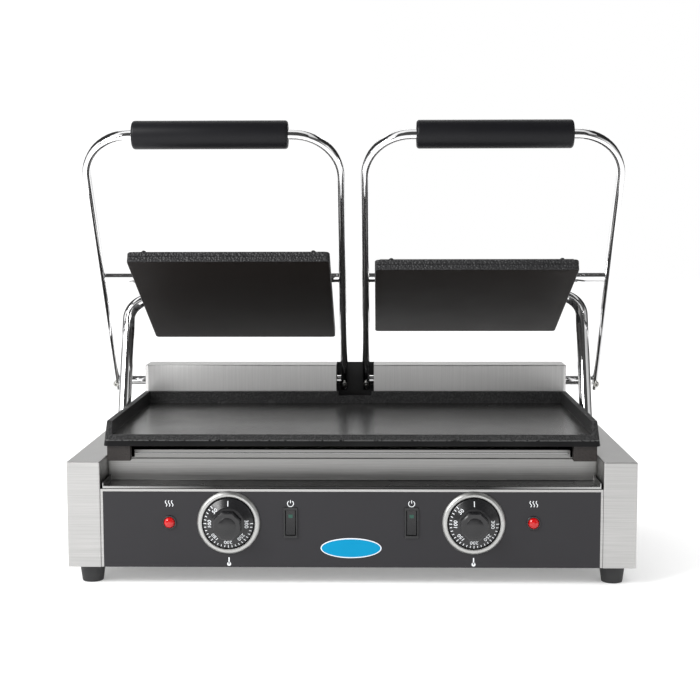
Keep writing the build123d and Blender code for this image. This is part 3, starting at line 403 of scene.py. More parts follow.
def rounded_builder(node, width, segments=2, fold=0.0):
    builder = bmesh.new()
    builder.from_mesh(nodes[node].data)
    bmesh.ops.remove_doubles(builder, verts=builder.verts, dist=same_corner)
    bmesh.ops.dissolve_limit(
        builder, angle_limit=flat_limit, verts=builder.verts, edges=builder.edges, delimit={"NORMAL"}
    )
    if fold:
        whole = [edge for edge in builder.edges if edge.is_manifold]
        inner = [edge for edge in whole if edge.calc_face_angle_signed() < -sharp_limit]
        bevel_edges(builder, inner, fold, fold_segments)
    whole = [edge for edge in builder.edges if edge.is_manifold]
    sharp = [edge for edge in whole if edge.calc_face_angle() > sharp_limit]
    bevel_edges(builder, sharp, width, segments)
    bmesh.ops.triangulate(builder, faces=[face for face in builder.faces if len(face.verts) > 4])
    return builder


def rounded_copy(node, width, finishes=None, pick_finish=None, segments=2, fold=0.0):
    piece = add_piece(
        node + "_rounded", rounded_builder(node, width, segments, fold),
        finishes or [finish_of_node(node)], body_of_node[node], [node], pick_finish,
    )
    even = piece.modifiers.new("even_shading", "WEIGHTED_NORMAL")
    even.weight = 100
    even.keep_sharp = True


tray_edge = 0.35 * mm
plate_edge = 0.9 * mm
cover_edge = 0.55 * mm
housing_edge = 0.4 * mm
casing_edge = 0.45 * mm
print("sharp from", round(sharp_limit * 180 / pi), "degrees")

# %% [markdown]
# The drip tray's floor and front lip carry painted shade: nearly black in the middle and
# painted lighter towards the ends, with a little grease noise. The other sheets have one finish each.

# %% Tray, deck, covers and casings
shaded_middle_half_width = 0.135
end_fade = 9.0
facing_straight = 0.97
tray_fold = 1.3 * mm
tray_wall_inset = 2.0 * mm
tray_floor_rise = 1.3 * mm

# Painted shade: the colour is darkest within the middle half width and painted lighter towards the ends.
tray_steel = Finish("tray_floor_steel", Metallic=1.0)
grease = tray_steel.noise(16.0, 3.0)
painted_lighter_ends = end_fade * (tray_steel.place_along(0).absolute() - shaded_middle_half_width)
painted_lighter_ends = painted_lighter_ends.maximum(0.0)
tray_shade_and_grease = (painted_lighter_ends + 0.12 * grease).minimum(1.0)
tray_steel.tint(tray_shade_and_grease, (0.012, 0.012, 0.012), (0.40, 0.40, 0.395))
tray_steel.feed("Roughness", 0.22 + 0.1 * grease)
tray_low = box_of("drip_tray")[0]


def tray_finish(centre, normal):
    """The second finish goes on the front lip and on the floor's upper side."""
    on_lip = centre.y < tray_low.y + tray_wall_inset
    on_floor = centre.z < tray_low.z + tray_floor_rise and normal.z > facing_straight
    return on_lip or on_floor


rounded_copy("drip_tray", tray_edge, [shaded_tray_sheet, tray_steel.material], tray_finish, fold=tray_fold)
rounded_copy("top_deck", tray_edge)
for side in sides:
    rounded_copy(f"{side}_platen_cover", cover_edge)
    rounded_copy(f"{side}_side_casing", casing_edge)
print("sheets rounded")

# %% [markdown]
# The lower plate has three finishes: the ground cooking face, the cast skin round it and a
# browner, rougher skirt below. The cast skin is dimpled above the dotted line where the
# mould parted. The rule below looks at the height.

# %% Lower plate
wall_rise = 13.1 * mm
plate_thickness = 11.7 * mm
cooking_z = box_of("lower_plate")[1].z - wall_rise
skirt_top_z = cooking_z - plate_thickness
parting_z = (cooking_z + skirt_top_z) / 2
parting_half = 0.6 * mm
on_face = 0.2 * mm
facing_mostly = 0.9


def lower_plate_finish(centre, normal):
    if centre.z < skirt_top_z - on_face:
        return 2
    return abs(centre.z - cooking_z) < on_face and normal.z > facing_mostly


lip_iron = Finish("lip_iron", Specular_IOR_Level=0.15)
dimples = lip_iron.cells(620.0)
lip_stain = lip_iron.noise(22.0, 4.0)
lip_height = lip_iron.place_along(2)
off_line = (lip_height - parting_z).absolute()
dots = (off_line < parting_half) * (lip_iron.noise(420.0, 1.0) > 0.42)
above_line = lip_height > parting_z
# The dimples above the line are painted lighter, a painted highlight on each; pale dots are painted along the
# parting line.
lip_highlights_and_stain = 0.4 * dimples * above_line + 0.1 * lip_stain + 2.4 * dots
lip_iron.tint(lip_highlights_and_stain, (0.001, 0.001, 0.0015), (0.09, 0.09, 0.09))
lip_iron.feed("Roughness", 0.38 + 0.1 * lip_stain)
lip_iron.bump(dimples * above_line, 0.8, 0.0009)
lower_plate_finishes = [lip_iron.material, iron_cooking_face, iron_skirt]
rounded_copy("lower_plate", plate_edge, lower_plate_finishes, lower_plate_finish, 3)
print("cooking face at", round(cooking_z / mm, 1), "mm")

# %% [markdown]
# The hinge housing is one folded sheet with a black box let into its middle, in which both
# inner legs stand. The faces near the middle get the black paint, but not the outer skin of
# the rear wall, which runs across the whole width.

# %% Hinge housing
recess_half_width = 22.9 * mm
housing_rear_y = box_of("hinge_housing")[1].y
rear_skin = 0.8 * mm


def housing_finish(centre, normal):
    return abs(centre.x) < recess_half_width and centre.y < housing_rear_y - rear_skin


rounded_copy("hinge_housing", housing_edge, [lit_housing_steel, black_matt], housing_finish)
print("housing done")

# %% [markdown]
# Each upper plate shows its ground cooking face, darker and smoother than the cast rim
# round it. A face belongs to the ground side if it looks along the plate's own downward
# direction. The plate's tilt comes from the joints: what the handle turns through, less
# what the plate turns back.

# %% Upper plates
travel = {side: radians(joints[f"{side}_handle_hinge"]["range_deg"][1]) for side in sides}
turned_back = {side: -radians(joints[f"{side}_platen_level"]["range_deg"][0]) for side in sides}
tilt = {side: travel[side] - turned_back[side] for side in sides}


def platen_up(side):
    return Vector((0.0, sin(tilt[side]), cos(tilt[side])))


def platen_back(side):
    return Vector((0.0, cos(tilt[side]), -sin(tilt[side])))


casting_edge = 0.5 * mm
for side in sides:
    down = -platen_up(side)
    rounded_copy(
        f"{side}_platen_casting", casting_edge, [iron_skin, iron_platen_face],
        lambda centre, normal: normal.dot(down) > facing_straight,
    )
print("tilts in degrees:", {side: round(tilt[side] * 180 / pi, 1) for side in sides})

# %% [markdown]
# Round things are turned on a lathe: a profile of radius and distance along the axis is
# spun about it. A profile that starts and ends on the axis closes itself. A closed profile
# off the axis ends where it started, and weld() then joins that seam.

# %% Lathe
same_point = 1e-7
nearly_upright = 0.9


def join_loops(builder, first, second):
    """Four-sided faces between two closed loops of as many corners."""
    for step in range(len(first)):
        after = (step + 1) % len(first)
        builder.faces.new((first[step], first[after], second[after], second[step]))


def weld(builder):
    bmesh.ops.remove_doubles(builder, verts=builder.verts, dist=same_point)


def lathe(builder, profile, origin, axis, segments=48, start_angle=0.0):
    axis = Vector(axis).normalized()
    across = axis.orthogonal().normalized()
    if abs(axis.z) < nearly_upright:
        across = (Vector((0.0, 0.0, 1.0)) - axis * axis.z).normalized()
    third = axis.cross(across)
    rings = []
    for radius, along in profile:
        foot = Vector(origin) + axis * along
        if radius < same_point:
            rings.append([builder.verts.new(foot)])
            continue
        ways = []
        for step in range(segments):
            angle = start_angle + 2 * pi * step / segments
            ways.append(across * cos(angle) + third * sin(angle))
        rings.append([builder.verts.new(foot + way * radius) for way in ways])
    for first, second in zip(rings, rings[1:]):
        for step in range(segments):
            after = (step + 1) % segments
            corners = [first[step % len(first)], first[after % len(first)]]
            corners += [second[after % len(second)], second[step % len(second)]]
            distinct = list(dict.fromkeys(corners))
            if len(distinct) > 2:
                builder.faces.new(distinct)


print("lathe ready")

# %% [markdown]
# A grip is a plain black tube with softly rounded ends, slipped on the bar. Its mouth is a
# little countersunk.

# %% Grips
grip_edge = 3.0 * mm
grip_edge_angles = (0.0, 0.4, 0.8, 1.2, pi / 2)
grip_segments = 72
mouth_radius = 7.4 * mm
mouth_depth = 6.0 * mm
countersink = 0.8 * mm
for side in sides:
    low, high, centre = box_of(f"{side}_grip")
    radius = (high.z - low.z) / 2
    half = (high.x - low.x) / 2
    end = [(mouth_radius, half - mouth_depth), (mouth_radius, half - countersink)]
    end.append((mouth_radius + countersink, half))
    for angle in grip_edge_angles:
        end.append((radius - grip_edge * (1 - sin(angle)), half - grip_edge * (1 - cos(angle))))
    profile = end + [(ring_radius, -along) for ring_radius, along in reversed(end)] + end[:1]
    builder = bmesh.new()
    lathe(builder, profile, centre, (1, 0, 0), grip_segments)
    weld(builder)
    add_piece(f"{side}_grip_tube", builder, [black_satin], f"{side}_handle", [f"{side}_grip"])
print("grips turned")

# %% [markdown]
# The handle bars and the conduits are bent tube. Both lie in one plane, so a route is
# drawn there with straight runs and round corners, and a section is carried along it.

# %% Bent bars
def rounded_route(corners, radius, steps=14):
    """Points and directions along straight runs joined by arcs, in a plane."""
    route = [(Vector(corners[0]), (Vector(corners[1]) - Vector(corners[0])).normalized())]
    for before, corner, after in zip(corners, corners[1:], corners[2:]):
        before, corner, after = Vector(before), Vector(corner), Vector(after)
        come = (corner - before).normalized()
        go = (after - corner).normalized()
        turn_angle = come.angle(go)
        reach = radius * tan(turn_angle / 2)
        side_sign = 1 if come.x * go.y - come.y * go.x > 0 else -1
        hub = corner - come * reach + Vector((-come.y, come.x)) * radius * side_sign
        for step in range(steps + 1):
            turned = side_sign * turn_angle * step / steps
            way = come.copy()
            way.x = come.x * cos(turned) - come.y * sin(turned)
            way.y = come.x * sin(turned) + come.y * cos(turned)
            route.append((hub - Vector((-way.y, way.x)) * radius * side_sign, way))
    last = Vector(corners[-1])
    route.append((last, (last - Vector(corners[-2])).normalized()))
    return route


def carry(builder, route, origin, right, up, section):
    """Carries a section, given as (in the plane, out of the plane), along a flat route."""
    normal = right.cross(up)
    rings = []
    for point, way in route:
        place = origin + right * point.x + up * point.y
        inward = right * -way.y + up * way.x
        rings.append([builder.verts.new(place + inward * a + normal * b) for a, b in section])
    for first, second in zip(rings, rings[1:]):
        join_loops(builder, first, second)
    return rings


dome_rings = ((0.92, 0.55), (0.72, 0.9))


def close_with_dome(builder, ring, outward, rise):
    """Closes a tube's end with a low dome: each ring has a share of the size and the rise."""
    centre = sum((vert.co for vert in ring), Vector()) / len(ring)
    outer_ring = ring
    for size, lift in dome_rings:
        shift = outward * rise * lift
        smaller = [builder.verts.new(centre + (vert.co - centre) * size + shift) for vert in ring]
        join_loops(builder, outer_ring, smaller)
        outer_ring = smaller
    builder.faces.new(outer_ring)


bar_thickness = 8.4 * mm
bar_breadth = 13.4 * mm
bar_bend = 49.0 * mm
bar_tail = 11.0 * mm
cap_rise = 1.2 * mm
rightward = Vector((1.0, 0.0, 0.0))


def flat_oval(thickness, breadth, steps=9):
    """Outline of a slot: half circles joined by straight sides, breadth out of the plane."""
    radius = thickness / 2
    shift = breadth / 2 - radius
    outline = []
    for sign in (1, -1):
        for step in range(steps + 1):
            angle = pi * step / steps
            outline.append((sign * radius * cos(angle), sign * (radius * sin(angle) + shift)))
    return outline


for side, sign in sides.items():
    hinge = Vector(joints[f"{side}_handle_hinge"]["pos_m"])
    low, high, centre = box_of(f"{side}_grip")
    bar_low, bar_high = box_of(f"{side}_handle_bar")[:2]
    outer = max(abs(bar_low.x), abs(bar_high.x)) - bar_thickness / 2
    inner = min(abs(bar_low.x), abs(bar_high.x)) + bar_thickness / 2
    rise = Vector((0.0, centre.y - hinge.y, centre.z - hinge.z))
    reach = rise.length
    up = rise.normalized()
    tail = bar_tail - cap_rise
    corners = [(sign * inner, -tail), (sign * inner, reach), (sign * outer, reach), (sign * outer, -tail)]
    origin = Vector((0.0, hinge.y, hinge.z))
    route = rounded_route(corners, bar_bend)
    builder = bmesh.new()
    rings = carry(builder, route, origin, rightward, up, flat_oval(bar_thickness, bar_breadth))
    close_with_dome(builder, rings[0], -up, cap_rise)
    close_with_dome(builder, rings[-1], -up, cap_rise)
    replaced = [f"{side}_handle_bar"]
    add_piece(f"{side}_bent_bar", builder, [chrome.material], f"{side}_handle", replaced)
print("handle reach", round(reach / mm, 1), "mm")

# %% [markdown]
# A conduit leaves the side of an upper plate's cover, bends down and slides through the
# grommet in the casing's top. Each end is closed flat, inside a ring as wide as the wall.

# %% Conduits
conduit_radius = 7.0 * mm
conduit_wall = 1.2 * mm
conduit_bend = 23.0 * mm
conduit_lean = {"left": radians(21.4), "right": radians(21.8)}
conduit_segments = 28
conduit_turns = [2 * pi * step / conduit_segments for step in range(conduit_segments)]
round_section = [(conduit_radius * cos(turned), conduit_radius * sin(turned)) for turned in conduit_turns]
shrink = 1 - conduit_wall / conduit_radius
for side, sign in sides.items():
    low, high = box_of(f"{side}_conduit_tube")[:2]
    start = Vector((min(abs(low.x), abs(high.x)), high.y - conduit_radius, high.z - conduit_radius))
    turn_x = max(abs(low.x), abs(high.x)) - conduit_radius
    lean = conduit_lean[side]
    along = Vector((0.0, -sin(lean), -cos(lean)))
    length = (start.z - low.z - conduit_radius * sin(lean)) / cos(lean)
    corners = [(sign * start.x, 0.0), (sign * turn_x, 0.0), (sign * turn_x, length)]
    route = rounded_route(corners, conduit_bend)
    builder = bmesh.new()
    rings = carry(builder, route, Vector((0.0, start.y, start.z)), rightward, along, round_section)
    for ring in (rings[0], rings[-1]):
        middle = sum((vert.co for vert in ring), Vector()) / len(ring)
        mouth = [builder.verts.new(middle + (vert.co - middle) * shrink) for vert in ring]
        join_loops(builder, ring, mouth)
        builder.faces.new(mouth)
    replaced = [f"{side}_conduit_tube"]
    add_piece(f"{side}_conduit_bend", builder, [chrome.material], f"{side}_platen", replaced)
print("conduits bent")

# %% [markdown]
# A knob is a skirt and a hub. The skirt is a shallow cone that carries the scale. The hub
# is an eight-sided block with a bare cap. The bezel round the knob is a turned satin ring.

# %% Knobs and bezels
knob_rim = 3.0 * mm
cone_radius = 15.5 * mm
cone_height = 7.5 * mm
hub_radius = 14.4 * mm
hub_sides = 8
hub_edge = 1.2 * mm
cap_radius = 8.6 * mm
cap_step = 0.5 * mm
knob_facing = Vector((0.0, -1.0, 0.0))


skirt_segments = 80
bezel_segments = 96


def prism(builder, radius, count, origin, axis, back, front, edge):
    """A many-sided block with a chamfered front, its flats facing up and down."""
    flat_start = pi / count
    profile = [(0.0, back), (radius, back), (radius, front - edge), (radius - edge, front), (0.0, front)]
    lathe(builder, profile, origin, axis, count, flat_start)


for side in sides:
    low, high, centre = box_of(f"{side}_knob")
    back = Vector((centre.x, high.y, centre.z))
    knob_radius = (high.x - low.x) / 2
    knob_height = high.y - low.y
    builder = bmesh.new()
    skirt = [
        (0.0, 0.0), (knob_radius - 0.6 * mm, 0.0), (knob_radius, 0.6 * mm),
        (knob_radius, knob_rim - 0.8 * mm), (knob_radius - 0.3 * mm, knob_rim - 0.2 * mm),
        (knob_radius - 1.0 * mm, knob_rim + 0.2 * mm), (cone_radius + 1.4 * mm, cone_height - 0.7 * mm),
        (cone_radius, cone_height), (0.0, cone_height),
    ]
    lathe(builder, skirt, back, knob_facing, skirt_segments)
    hub_front = knob_height - cap_step
    prism(builder, hub_radius, hub_sides, back, knob_facing, cone_height - mm, hub_front, hub_edge)
    cap = [
        (0.0, knob_height - mm), (cap_radius, knob_height - mm), (cap_radius, knob_height - 0.2 * mm),
        (cap_radius - 0.3 * mm, knob_height), (0.0, knob_height - 0.15 * mm),
    ]
    lathe(builder, cap, back, knob_facing)
    add_piece(f"{side}_knob_turned", builder, [black_gloss], f"{side}_dial", [f"{side}_knob"])

low, high = box_of("dial_bezels")[:2]
bezel_radius = (high.z - low.z) / 2
bezel_inner = bezel_radius - 5.4 * mm
bezel_depth = high.y - low.y
builder = bmesh.new()
for side in sides:
    knob_centre = box_of(f"{side}_knob")[2]
    foot = Vector((knob_centre.x, high.y, knob_centre.z))
    profile = [
        (bezel_inner, 0.0), (bezel_radius, 0.0), (bezel_radius, 0.7 * mm),
        (bezel_radius - 0.5 * mm, 1.5 * mm), (bezel_radius - 1.8 * mm, bezel_depth - 0.4 * mm),
        (bezel_radius - 2.6 * mm, bezel_depth), (bezel_inner + 1.0 * mm, bezel_depth),
        (bezel_inner + 0.3 * mm, bezel_depth - 0.4 * mm), (bezel_inner, bezel_depth - 1.1 * mm),
        (bezel_inner, 0.0),
    ]
    lathe(builder, profile, foot, knob_facing, bezel_segments)
weld(builder)
add_piece("turned_bezels", builder, [satin_aluminium], "base", ["dial_bezels"])
print("bezel radius", round(bezel_radius / mm, 1), "mm")

# %% [markdown]
# Marks are printed. Each is a thin slab a hair above its surface. Numbers come from the
# built-in plain font, turned into meshes and laid on the slope of the knob's skirt, so
# that they turn with it. The scale runs counter-clockwise, because the knob turns clockwise.

# %% Printed marks
print_rise = 0.05 * mm
print_depth = 0.1 * mm


def slab(builder, outline, matrix):
    """A thin flat plate with the outline given in its own plane."""
    loops = []
    for height in (0.0, print_depth):
        loops.append([builder.verts.new(matrix @ Vector((x, y, height))) for x, y in outline])
    builder.faces.new(loops[1])
    builder.faces.new(list(reversed(loops[0])))
    join_loops(builder, loops[0], loops[1])


def stroke(builder, points, width, matrix):
    """A line of even width through points, as a chain of slabs with mitred joints."""
    half = width / 2
    left_side, right_side = [], []
    for index, point in enumerate(points):
        before = points[max(index - 1, 0)]
        after = points[min(index + 1, len(points) - 1)]
        way = Vector((after[0] - before[0], after[1] - before[1])).normalized()
        left_side.append((point[0] - way.y * half, point[1] + way.x * half))
        right_side.append((point[0] + way.y * half, point[1] - way.x * half))
    for index in range(len(points) - 1):
        quad = [left_side[index], right_side[index], right_side[index + 1], left_side[index + 1]]
        slab(builder, quad, matrix)


def number_mesh(text, size):
    curve = bpy.data.curves.new("number", "FONT")
    curve.body = text
    curve.size = size
    curve.extrude = print_depth / 2
    curve.offset = number_weight
    curve.align_x = "CENTER"
    curve.align_y = "CENTER"
    curve.resolution_u = 3
    holder = bpy.data.objects.new("number", curve)
    mesh = bpy.data.meshes.new_from_object(holder)
    bpy.data.objects.remove(holder)
    bpy.data.curves.remove(curve)
    return mesh


def rectangle(width, height):
    x, y = width / 2, height / 2
    return [(-x, -y), (x, -y), (x, y), (-x, y)]


def surface_frame(across, upward, off, place):
    """Matrix from a mark's own plane to a surface, with Z off the surface."""
    return Matrix((
        (across.x, upward.x, off.x, place.x), (across.y, upward.y, off.y, place.y),
        (across.z, upward.z, off.z, place.z), (0.0, 0.0, 0.0, 1.0),
    ))


slope = atan2(cone_height - knob_rim, knob_radius - cone_radius)
number_radius = 18.0 * mm
number_size = 5.6 * mm
number_weight = 0.02 * mm
tick_radius = 22.8 * mm
tick_width, tick_length, long_tick_length = 0.7 * mm, 2.4 * mm, 3.2 * mm
pointer_width, pointer_length, pointer_radius = 0.8 * mm, 5.6 * mm, 20.0 * mm
lowest_number, number_step, number_count = 50, 50, 6
number_angle = radians(-45)
ticks_between = 5


def on_skirt(back, radius, angle):
    """Frame on the skirt: X along the turn, Y outwards, Z off the surface."""
    height = knob_rim + (knob_radius - radius) * tan(slope)
    outward = Vector((sin(angle), 0.0, cos(angle)))
    across = Vector((cos(angle), 0.0, -sin(angle)))
    uphill = (outward * cos(slope) - knob_facing * sin(slope)).normalized()
    off = across.cross(uphill)
    place = back + outward * radius + knob_facing * height + off * print_rise
    return surface_frame(across, uphill, off, place)


for side in sides:
    high, centre = box_of(f"{side}_knob")[1:]
    back = Vector((centre.x, high.y, centre.z))
    builder = bmesh.new()
    for index in range(number_count):
        mesh = number_mesh(str(lowest_number + index * number_step), number_size)
        mesh.transform(on_skirt(back, number_radius, number_angle * (index + 1)))
        builder.from_mesh(mesh)
        bpy.data.meshes.remove(mesh)
    for index in range((number_count - 1) * ticks_between + 1):
        angle = number_angle * (1 + index / ticks_between)
        length = tick_length if index % ticks_between else long_tick_length
        slab(builder, rectangle(tick_width, length), on_skirt(back, tick_radius, angle))
    pointer = rectangle(pointer_width, pointer_length)
    slab(builder, pointer, on_skirt(back, pointer_radius, 0.0))
    add_piece(f"{side}_dial_scale", builder, [white_print], f"{side}_dial")
print("dial numbers:", number_count)

# %% [markdown]
# The panel's three labels are plain signs, not words: rising heat, a standby sign and a
# thermometer. They sit where a cook looks for them, above the lamp, above the switch and
# under the knob.

# %% Panel signs
film_face_y = box_of("panel_fascia")[0].y
sign_rise = 19.0 * mm
sign_drop = 39.1 * mm
line_width = 0.7 * mm
wave_places = (-3.0 * mm, 0.0, 3.0 * mm)
wave_swing = 0.8 * mm
wave_steps = 12
wave_height = 6.0 * mm
standby_radius = 3.0 * mm
standby_gap = 35
bulb_radius = 2.0 * mm
bulb_drop = 2.4 * mm
bulb_steps = 18


def on_panel(x, z):
    """Frame on the panel's face: X to the right, Y up, Z towards the cook."""
    place = Vector((x, film_face_y - print_rise - print_depth, z))
    return Matrix(((1, 0, 0, place.x), (0, 0, -1, place.y + print_depth), (0, 1, 0, place.z), (0, 0, 0, 1)))


def heat_sign(builder, matrix):
    for across in wave_places:
        wave = []
        for step in range(wave_steps + 1):
            share = step / wave_steps
            wave.append((across + wave_swing * sin(2 * pi * share), wave_height * (share - 0.5)))
        stroke(builder, wave, line_width, matrix)


def standby_sign(builder, matrix):
    turns = [radians(turned) for turned in range(standby_gap, 361 - standby_gap, 10)]
    ring = [(standby_radius * sin(turned), standby_radius * cos(turned)) for turned in turns]
    stroke(builder, ring, line_width, matrix)
    stroke(builder, [(0.0, 0.4 * mm), (0.0, 3.6 * mm)], line_width, matrix)


def thermometer_sign(builder, matrix):
    turns = [2 * pi * step / bulb_steps for step in range(bulb_steps)]
    bulb = [(bulb_radius * cos(turned), bulb_radius * sin(turned) - bulb_drop) for turned in turns]
    slab(builder, bulb, matrix)
    stroke(builder, [(0.0, -bulb_drop), (0.0, 4.2 * mm)], 1.2 * mm, matrix)


lens_half_width = 7.1 * mm
switch_half_width = 7.2 * mm
lamp_x = box_of("pilot_lenses")[1].x - lens_half_width
switch_x = box_of("switch_housings")[1].x - switch_half_width
control_z = box_of("left_knob")[2].z
dial_x = abs(box_of("left_knob")[2].x)
builder = bmesh.new()
for sign in sides.values():
    heat_sign(builder, on_panel(sign * lamp_x, control_z + sign_rise))
    standby_sign(builder, on_panel(sign * switch_x, control_z + sign_rise))
    thermometer_sign(builder, on_panel(sign * dial_x, control_z - sign_drop))
add_piece("panel_signs", builder, [white_print], "base")
print("signs printed")

# %% [markdown]
# A pilot lamp is a red dome cut in facets, in a black collar. A lathe with few segments
# makes the facets. They meet at less than the crease angle, so the light runs softly from
# one to the next. Both lenses are one piece, as they share one node.

# %% Pilot lamps
low, high = box_of("pilot_lenses")[:2]
lens_radius = (high.z - low.z) / 2
lens_depth = high.y - low.y
facets = 12
collar_builder = bmesh.new()
lens_builder = bmesh.new()
for sign in sides.values():
    seat = Vector((sign * lamp_x, high.y, control_z))
    collar = [
        (lens_radius - 1.6 * mm, 0.0), (lens_radius, 0.0), (lens_radius, 0.9 * mm),
        (lens_radius - 0.4 * mm, 1.3 * mm), (lens_radius - 1.3 * mm, 1.3 * mm),
        (lens_radius - 1.6 * mm, 1.0 * mm), (lens_radius - 1.6 * mm, 0.0),
    ]
    lathe(collar_builder, collar, seat, knob_facing)
    dome = [
        (0.0, 0.0), (lens_radius - 1.7 * mm, 0.0), (lens_radius - 1.7 * mm, 1.6 * mm),
        (lens_radius - 2.6 * mm, 3.1 * mm), (lens_radius - 4.4 * mm, lens_depth - 0.4 * mm),
        (0.0, lens_depth),
    ]
    lathe(lens_builder, dome, seat, knob_facing, facets)
weld(collar_builder)
add_piece("faceted_lenses", lens_builder, [red_lens], "base", ["pilot_lenses"])
add_piece("lamp_collars", collar_builder, [black_gloss], "base")
print("lens radius", round(lens_radius / mm, 1), "mm")

# %% [markdown]
# The switches are moulded too: a frame and a rocker, both with soft edges, and a small
# green window in the rocker's upper half, which moves with it.

# %% Switches
switch_edge = 0.35 * mm
rounded_copy("switch_housings", switch_edge)
window_size = (4.2 * mm, 3.4 * mm)
window_rise = 6.0 * mm
facing_cook = -0.8
least_face_area = 4e-5
for side in sides:
    rounded_copy(f"{side}_rocker", switch_edge, [black_gloss])
    polygons = nodes[f"{side}_rocker"].data.polygons
    front = [face for face in polygons if face.normal.y < facing_cook and face.area > least_face_area]
    face = max(front, key=lambda polygon: polygon.center.z)
    off = face.normal.copy()
    upward = off.cross(rightward)
    middle = box_of(f"{side}_rocker")[2]
    place = Vector((middle.x, face.center.y, face.center.z))
    place += upward * (window_rise - (place.z - middle.z)) + off * print_rise
    builder = bmesh.new()
    slab(builder, rectangle(*window_size), surface_frame(rightward, upward, off, place))
    add_piece(f"{side}_rocker_window", builder, [green_lens], f"{side}_switch")
print("switches done")

# %% [markdown]
# The badge is a bare blue oval with a pale rim and a slightly crowned face. It is turned
# like a lathe piece, but each ring is an ellipse.

# %% Badge
low, high, centre = box_of("badge_plate")
half_length = (high.x - low.x) / 2
half_height = (high.z - low.z) / 2
badge_depth = high.y - low.y
rim_width = 1.0 * mm
badge_steps = 72
badge_front = -0.2
rings = [(0.0, 0.0), (0.0, 0.8), (0.15, 0.95), (rim_width / mm, 1.0), (rim_width / mm + 0.15, 0.8)]
rings += [(half_height / mm * 0.5, 0.92), (half_height / mm * 0.85, 0.98)]
builder = bmesh.new()
loops = []
for inset, level in rings:
    loop = []
    for step in range(badge_steps):
        angle = 2 * pi * step / badge_steps
        x = centre.x + (half_length - inset * mm) * cos(angle)
        z = centre.z + (half_height - inset * mm) * sin(angle)
        loop.append(builder.verts.new((x, high.y - level * badge_depth, z)))
    loops.append(loop)
for first, second in zip(loops, loops[1:]):
    join_loops(builder, first, second)
builder.faces.new(loops[0])
builder.faces.new(loops[-1])


def badge_finish(point, normal):
    """The second finish goes inside the rim, on the front."""
    along = (point.x - centre.x) / (half_length - rim_width)
    upward = (point.z - centre.z) / (half_height - rim_width)
    return hypot(along, upward) < 1.0 and normal.y < badge_front


badge_finishes = [badge_rim, badge_blue]
add_piece("oval_badge", builder, badge_finishes, "base", ["badge_plate"], badge_finish)
print("badge done")

# %% [markdown]
# The feet are tapered rubber with a rounded tread edge. All four are one piece, as they
# share one node, and each keeps the hole for its screw.

# %% Feet
low, high = box_of("rubber_feet")[:2]
foot_height = high.z - low.z
top_radius = 13.0 * mm
tread_radius = 10.5 * mm
hole_radius = 5.1 * mm
hole_depth = 9.0 * mm
screw_radius = 2.6 * mm
builder = bmesh.new()
for x in (low.x + top_radius, high.x - top_radius):
    for y in (low.y + top_radius, high.y - top_radius):
        profile = [
            (hole_radius, hole_depth), (hole_radius, 0.0), (tread_radius - 1.0 * mm, 0.0),
            (tread_radius - 0.3 * mm, 0.3 * mm), (tread_radius, 1.0 * mm),
            (top_radius - 0.6 * mm, foot_height - 3.2 * mm), (top_radius, foot_height - 2.6 * mm),
            (top_radius, foot_height), (screw_radius, foot_height), (screw_radius, hole_depth),
            (hole_radius, hole_depth),
        ]
        lathe(builder, profile, (x, y, low.z), (0, 0, 1))
weld(builder)
add_piece("moulded_feet", builder, [foot_rubber], "base", ["rubber_feet"])
print("feet moulded")

# %% [markdown]
# Small things that the eye misses only when they are gone: a rolled bead along the strip
# under the lower plate, and two cast pips on the front rim of each upper plate.

# %% Bead and pips
deck_low, deck_high = box_of("top_deck")[:2]
bead_radius = 0.7 * mm
bead_half = 219.0 * mm
bead_drop = 3.6 * mm
bead_end = 0.3 * mm
bead_segments = 16
builder = bmesh.new()
bead_place = Vector((-bead_half, deck_low.y, deck_high.z - bead_drop))
bead = [(0.0, 0.0), (bead_radius, bead_end)]
bead += [(bead_radius, 2 * bead_half - bead_end), (0.0, 2 * bead_half)]
lathe(builder, bead, bead_place, (1, 0, 0), bead_segments)
add_piece("deck_strip_bead", builder, [chrome.material], "base")

pip_radius = 2.6 * mm
pip_height = 2.2 * mm
pip_foot = 0.6 * mm
pip_sink = 0.4 * mm
pip_angles = (0.35, 0.7, 1.05, 1.35)
pip_segments = 24
pip_from_side = 17.0 * mm
pip_from_front = 3.2 * mm
pivot_from_front = 107.5 * mm
pivot_height = 30.3 * mm
casting_thickness = 11.5 * mm
for side in sides:
    pivot = Vector(joints[f"{side}_platen_level"]["pos_m"])
    low, high = box_of(f"{side}_platen_casting")[:2]
    builder = bmesh.new()
    for x in (low.x + pip_from_side, high.x - pip_from_side):
        place = Vector((x, pivot.y, pivot.z)) + platen_back(side) * (pip_from_front - pivot_from_front)
        place += platen_up(side) * (casting_thickness - pivot_height - pip_sink)
        dome = [(0.0, 0.0), (pip_radius, 0.0), (pip_radius, pip_foot)]
        dome += [(pip_radius * cos(angle), pip_foot + pip_height * sin(angle)) for angle in pip_angles]
        dome += [(0.0, pip_foot + pip_height)]
        lathe(builder, dome, place, platen_up(side), pip_segments)
    add_piece(f"{side}_cast_pips", builder, [iron_skin], f"{side}_platen")
print("small pieces added")

# %% [markdown]
# A plain pale floor, and a studio that is white all round. Chrome shows nothing but what
# stands round it, so the studio has a dark band behind the camera, a dark patch overhead and
# dim strips at the sides and the rear. The camera itself sees plain white behind the grill,
# and matt surfaces are lit as if all of it were white.

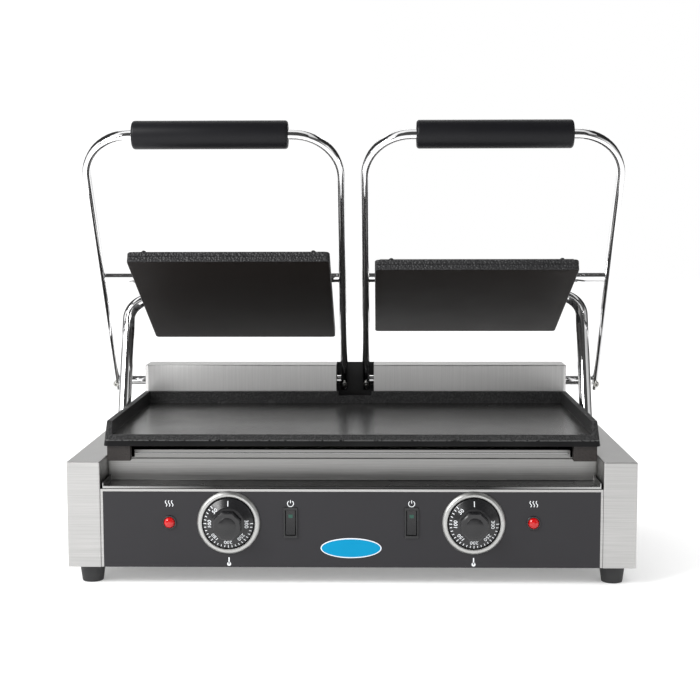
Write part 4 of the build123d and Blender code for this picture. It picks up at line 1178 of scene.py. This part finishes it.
# %% Floor and studio
floor_half = 6.0
floor_mesh = bpy.data.meshes.new("studio_floor")
corners = [(*corner, 0.0) for corner in rectangle(2 * floor_half, 2 * floor_half)]
floor_mesh.from_pydata(corners, [], [(0, 1, 2, 3)])
floor = bpy.data.objects.new("studio_floor", floor_mesh)
bpy.context.scene.collection.objects.link(floor)
white = (1.0, 1.0, 1.0, 1.0)
paper = Finish("floor_paper", Emission_Color=white, Emission_Strength=0.2, Specular_IOR_Level=0.0)
mottle = paper.noise(3.0, 2.0)
paper.tint(mottle, (0.86, 0.86, 0.86), (0.90, 0.90, 0.90))
paper.feed("Roughness", 0.7 + 0.1 * mottle)
floor_mesh.materials.append(paper.material)

world = bpy.data.worlds.new("studio")
world.use_nodes = True
bpy.context.scene.world = world


class Studio(Finish):
    """The world's node tree, built with the same helpers."""

    def __init__(self, tree):
        self.tree = tree
        self.shader = tree.nodes["Background"]


studio = Studio(world.node_tree)
direction = studio.node("ShaderNodeTexCoord", output="Generated")
split = studio.node("ShaderNodeSeparateXYZ", None, {0: direction})
east = Signal(studio, split.socket.node.outputs[0])
north = Signal(studio, split.socket.node.outputs[1])
height = Signal(studio, split.socket.node.outputs[2])
sideways = east.absolute()
below_top = height < 0.8
dark_band = (north < -0.1) * (sideways < 0.42) * (height > 0.24)
dark_patch = height > 0.93
dark_part = dark_band.maximum(dark_patch)
rear_sides = (north > 0.12) * (north < 0.93) * below_top
side_strips = (sideways > 0.34) * (sideways < 0.84) * below_top
left_bias = 1.0 - 0.55 * east
glow = (1.0 - 0.93 * dark_part) * (1.0 - 0.8 * rear_sides) * (1.0 - 0.85 * side_strips) * left_bias
seen = studio.node("ShaderNodeLightPath", output="Is Camera Ray")
soft = studio.node("ShaderNodeLightPath", output="Is Diffuse Ray")
level = seen.maximum(soft).maximum(glow)
studio.feed("Color", studio.node("ShaderNodeCombineColor", None, {0: level, 1: level, 2: level}))
world.node_tree.nodes["Background"].inputs["Strength"].default_value = 1.0


def softbox(name, place, aim, size, power):
    light_data = bpy.data.lights.new(name, "AREA")
    light_data.shape = "RECTANGLE"
    light_data.size, light_data.size_y = size
    light_data.energy = power
    lamp = bpy.data.objects.new(name, light_data)
    bpy.context.scene.collection.objects.link(lamp)
    way = Vector(aim) - Vector(place)
    lamp.rotation_euler = way.to_track_quat("-Z", "Y").to_euler()
    lamp.location = place


softbox("key_softbox", (-1.3, -1.1, 1.3), (0.0, 0.0, 0.15), (0.9, 0.9), 34.0)
softbox("fill_softbox", (1.6, -0.9, 0.9), (0.0, 0.0, 0.15), (0.9, 0.9), 1.5)
softbox("rear_softbox", (0.0, 1.5, 1.5), (0.0, 0.1, 0.2), (1.6, 0.6), 5.0)
print("studio lit")
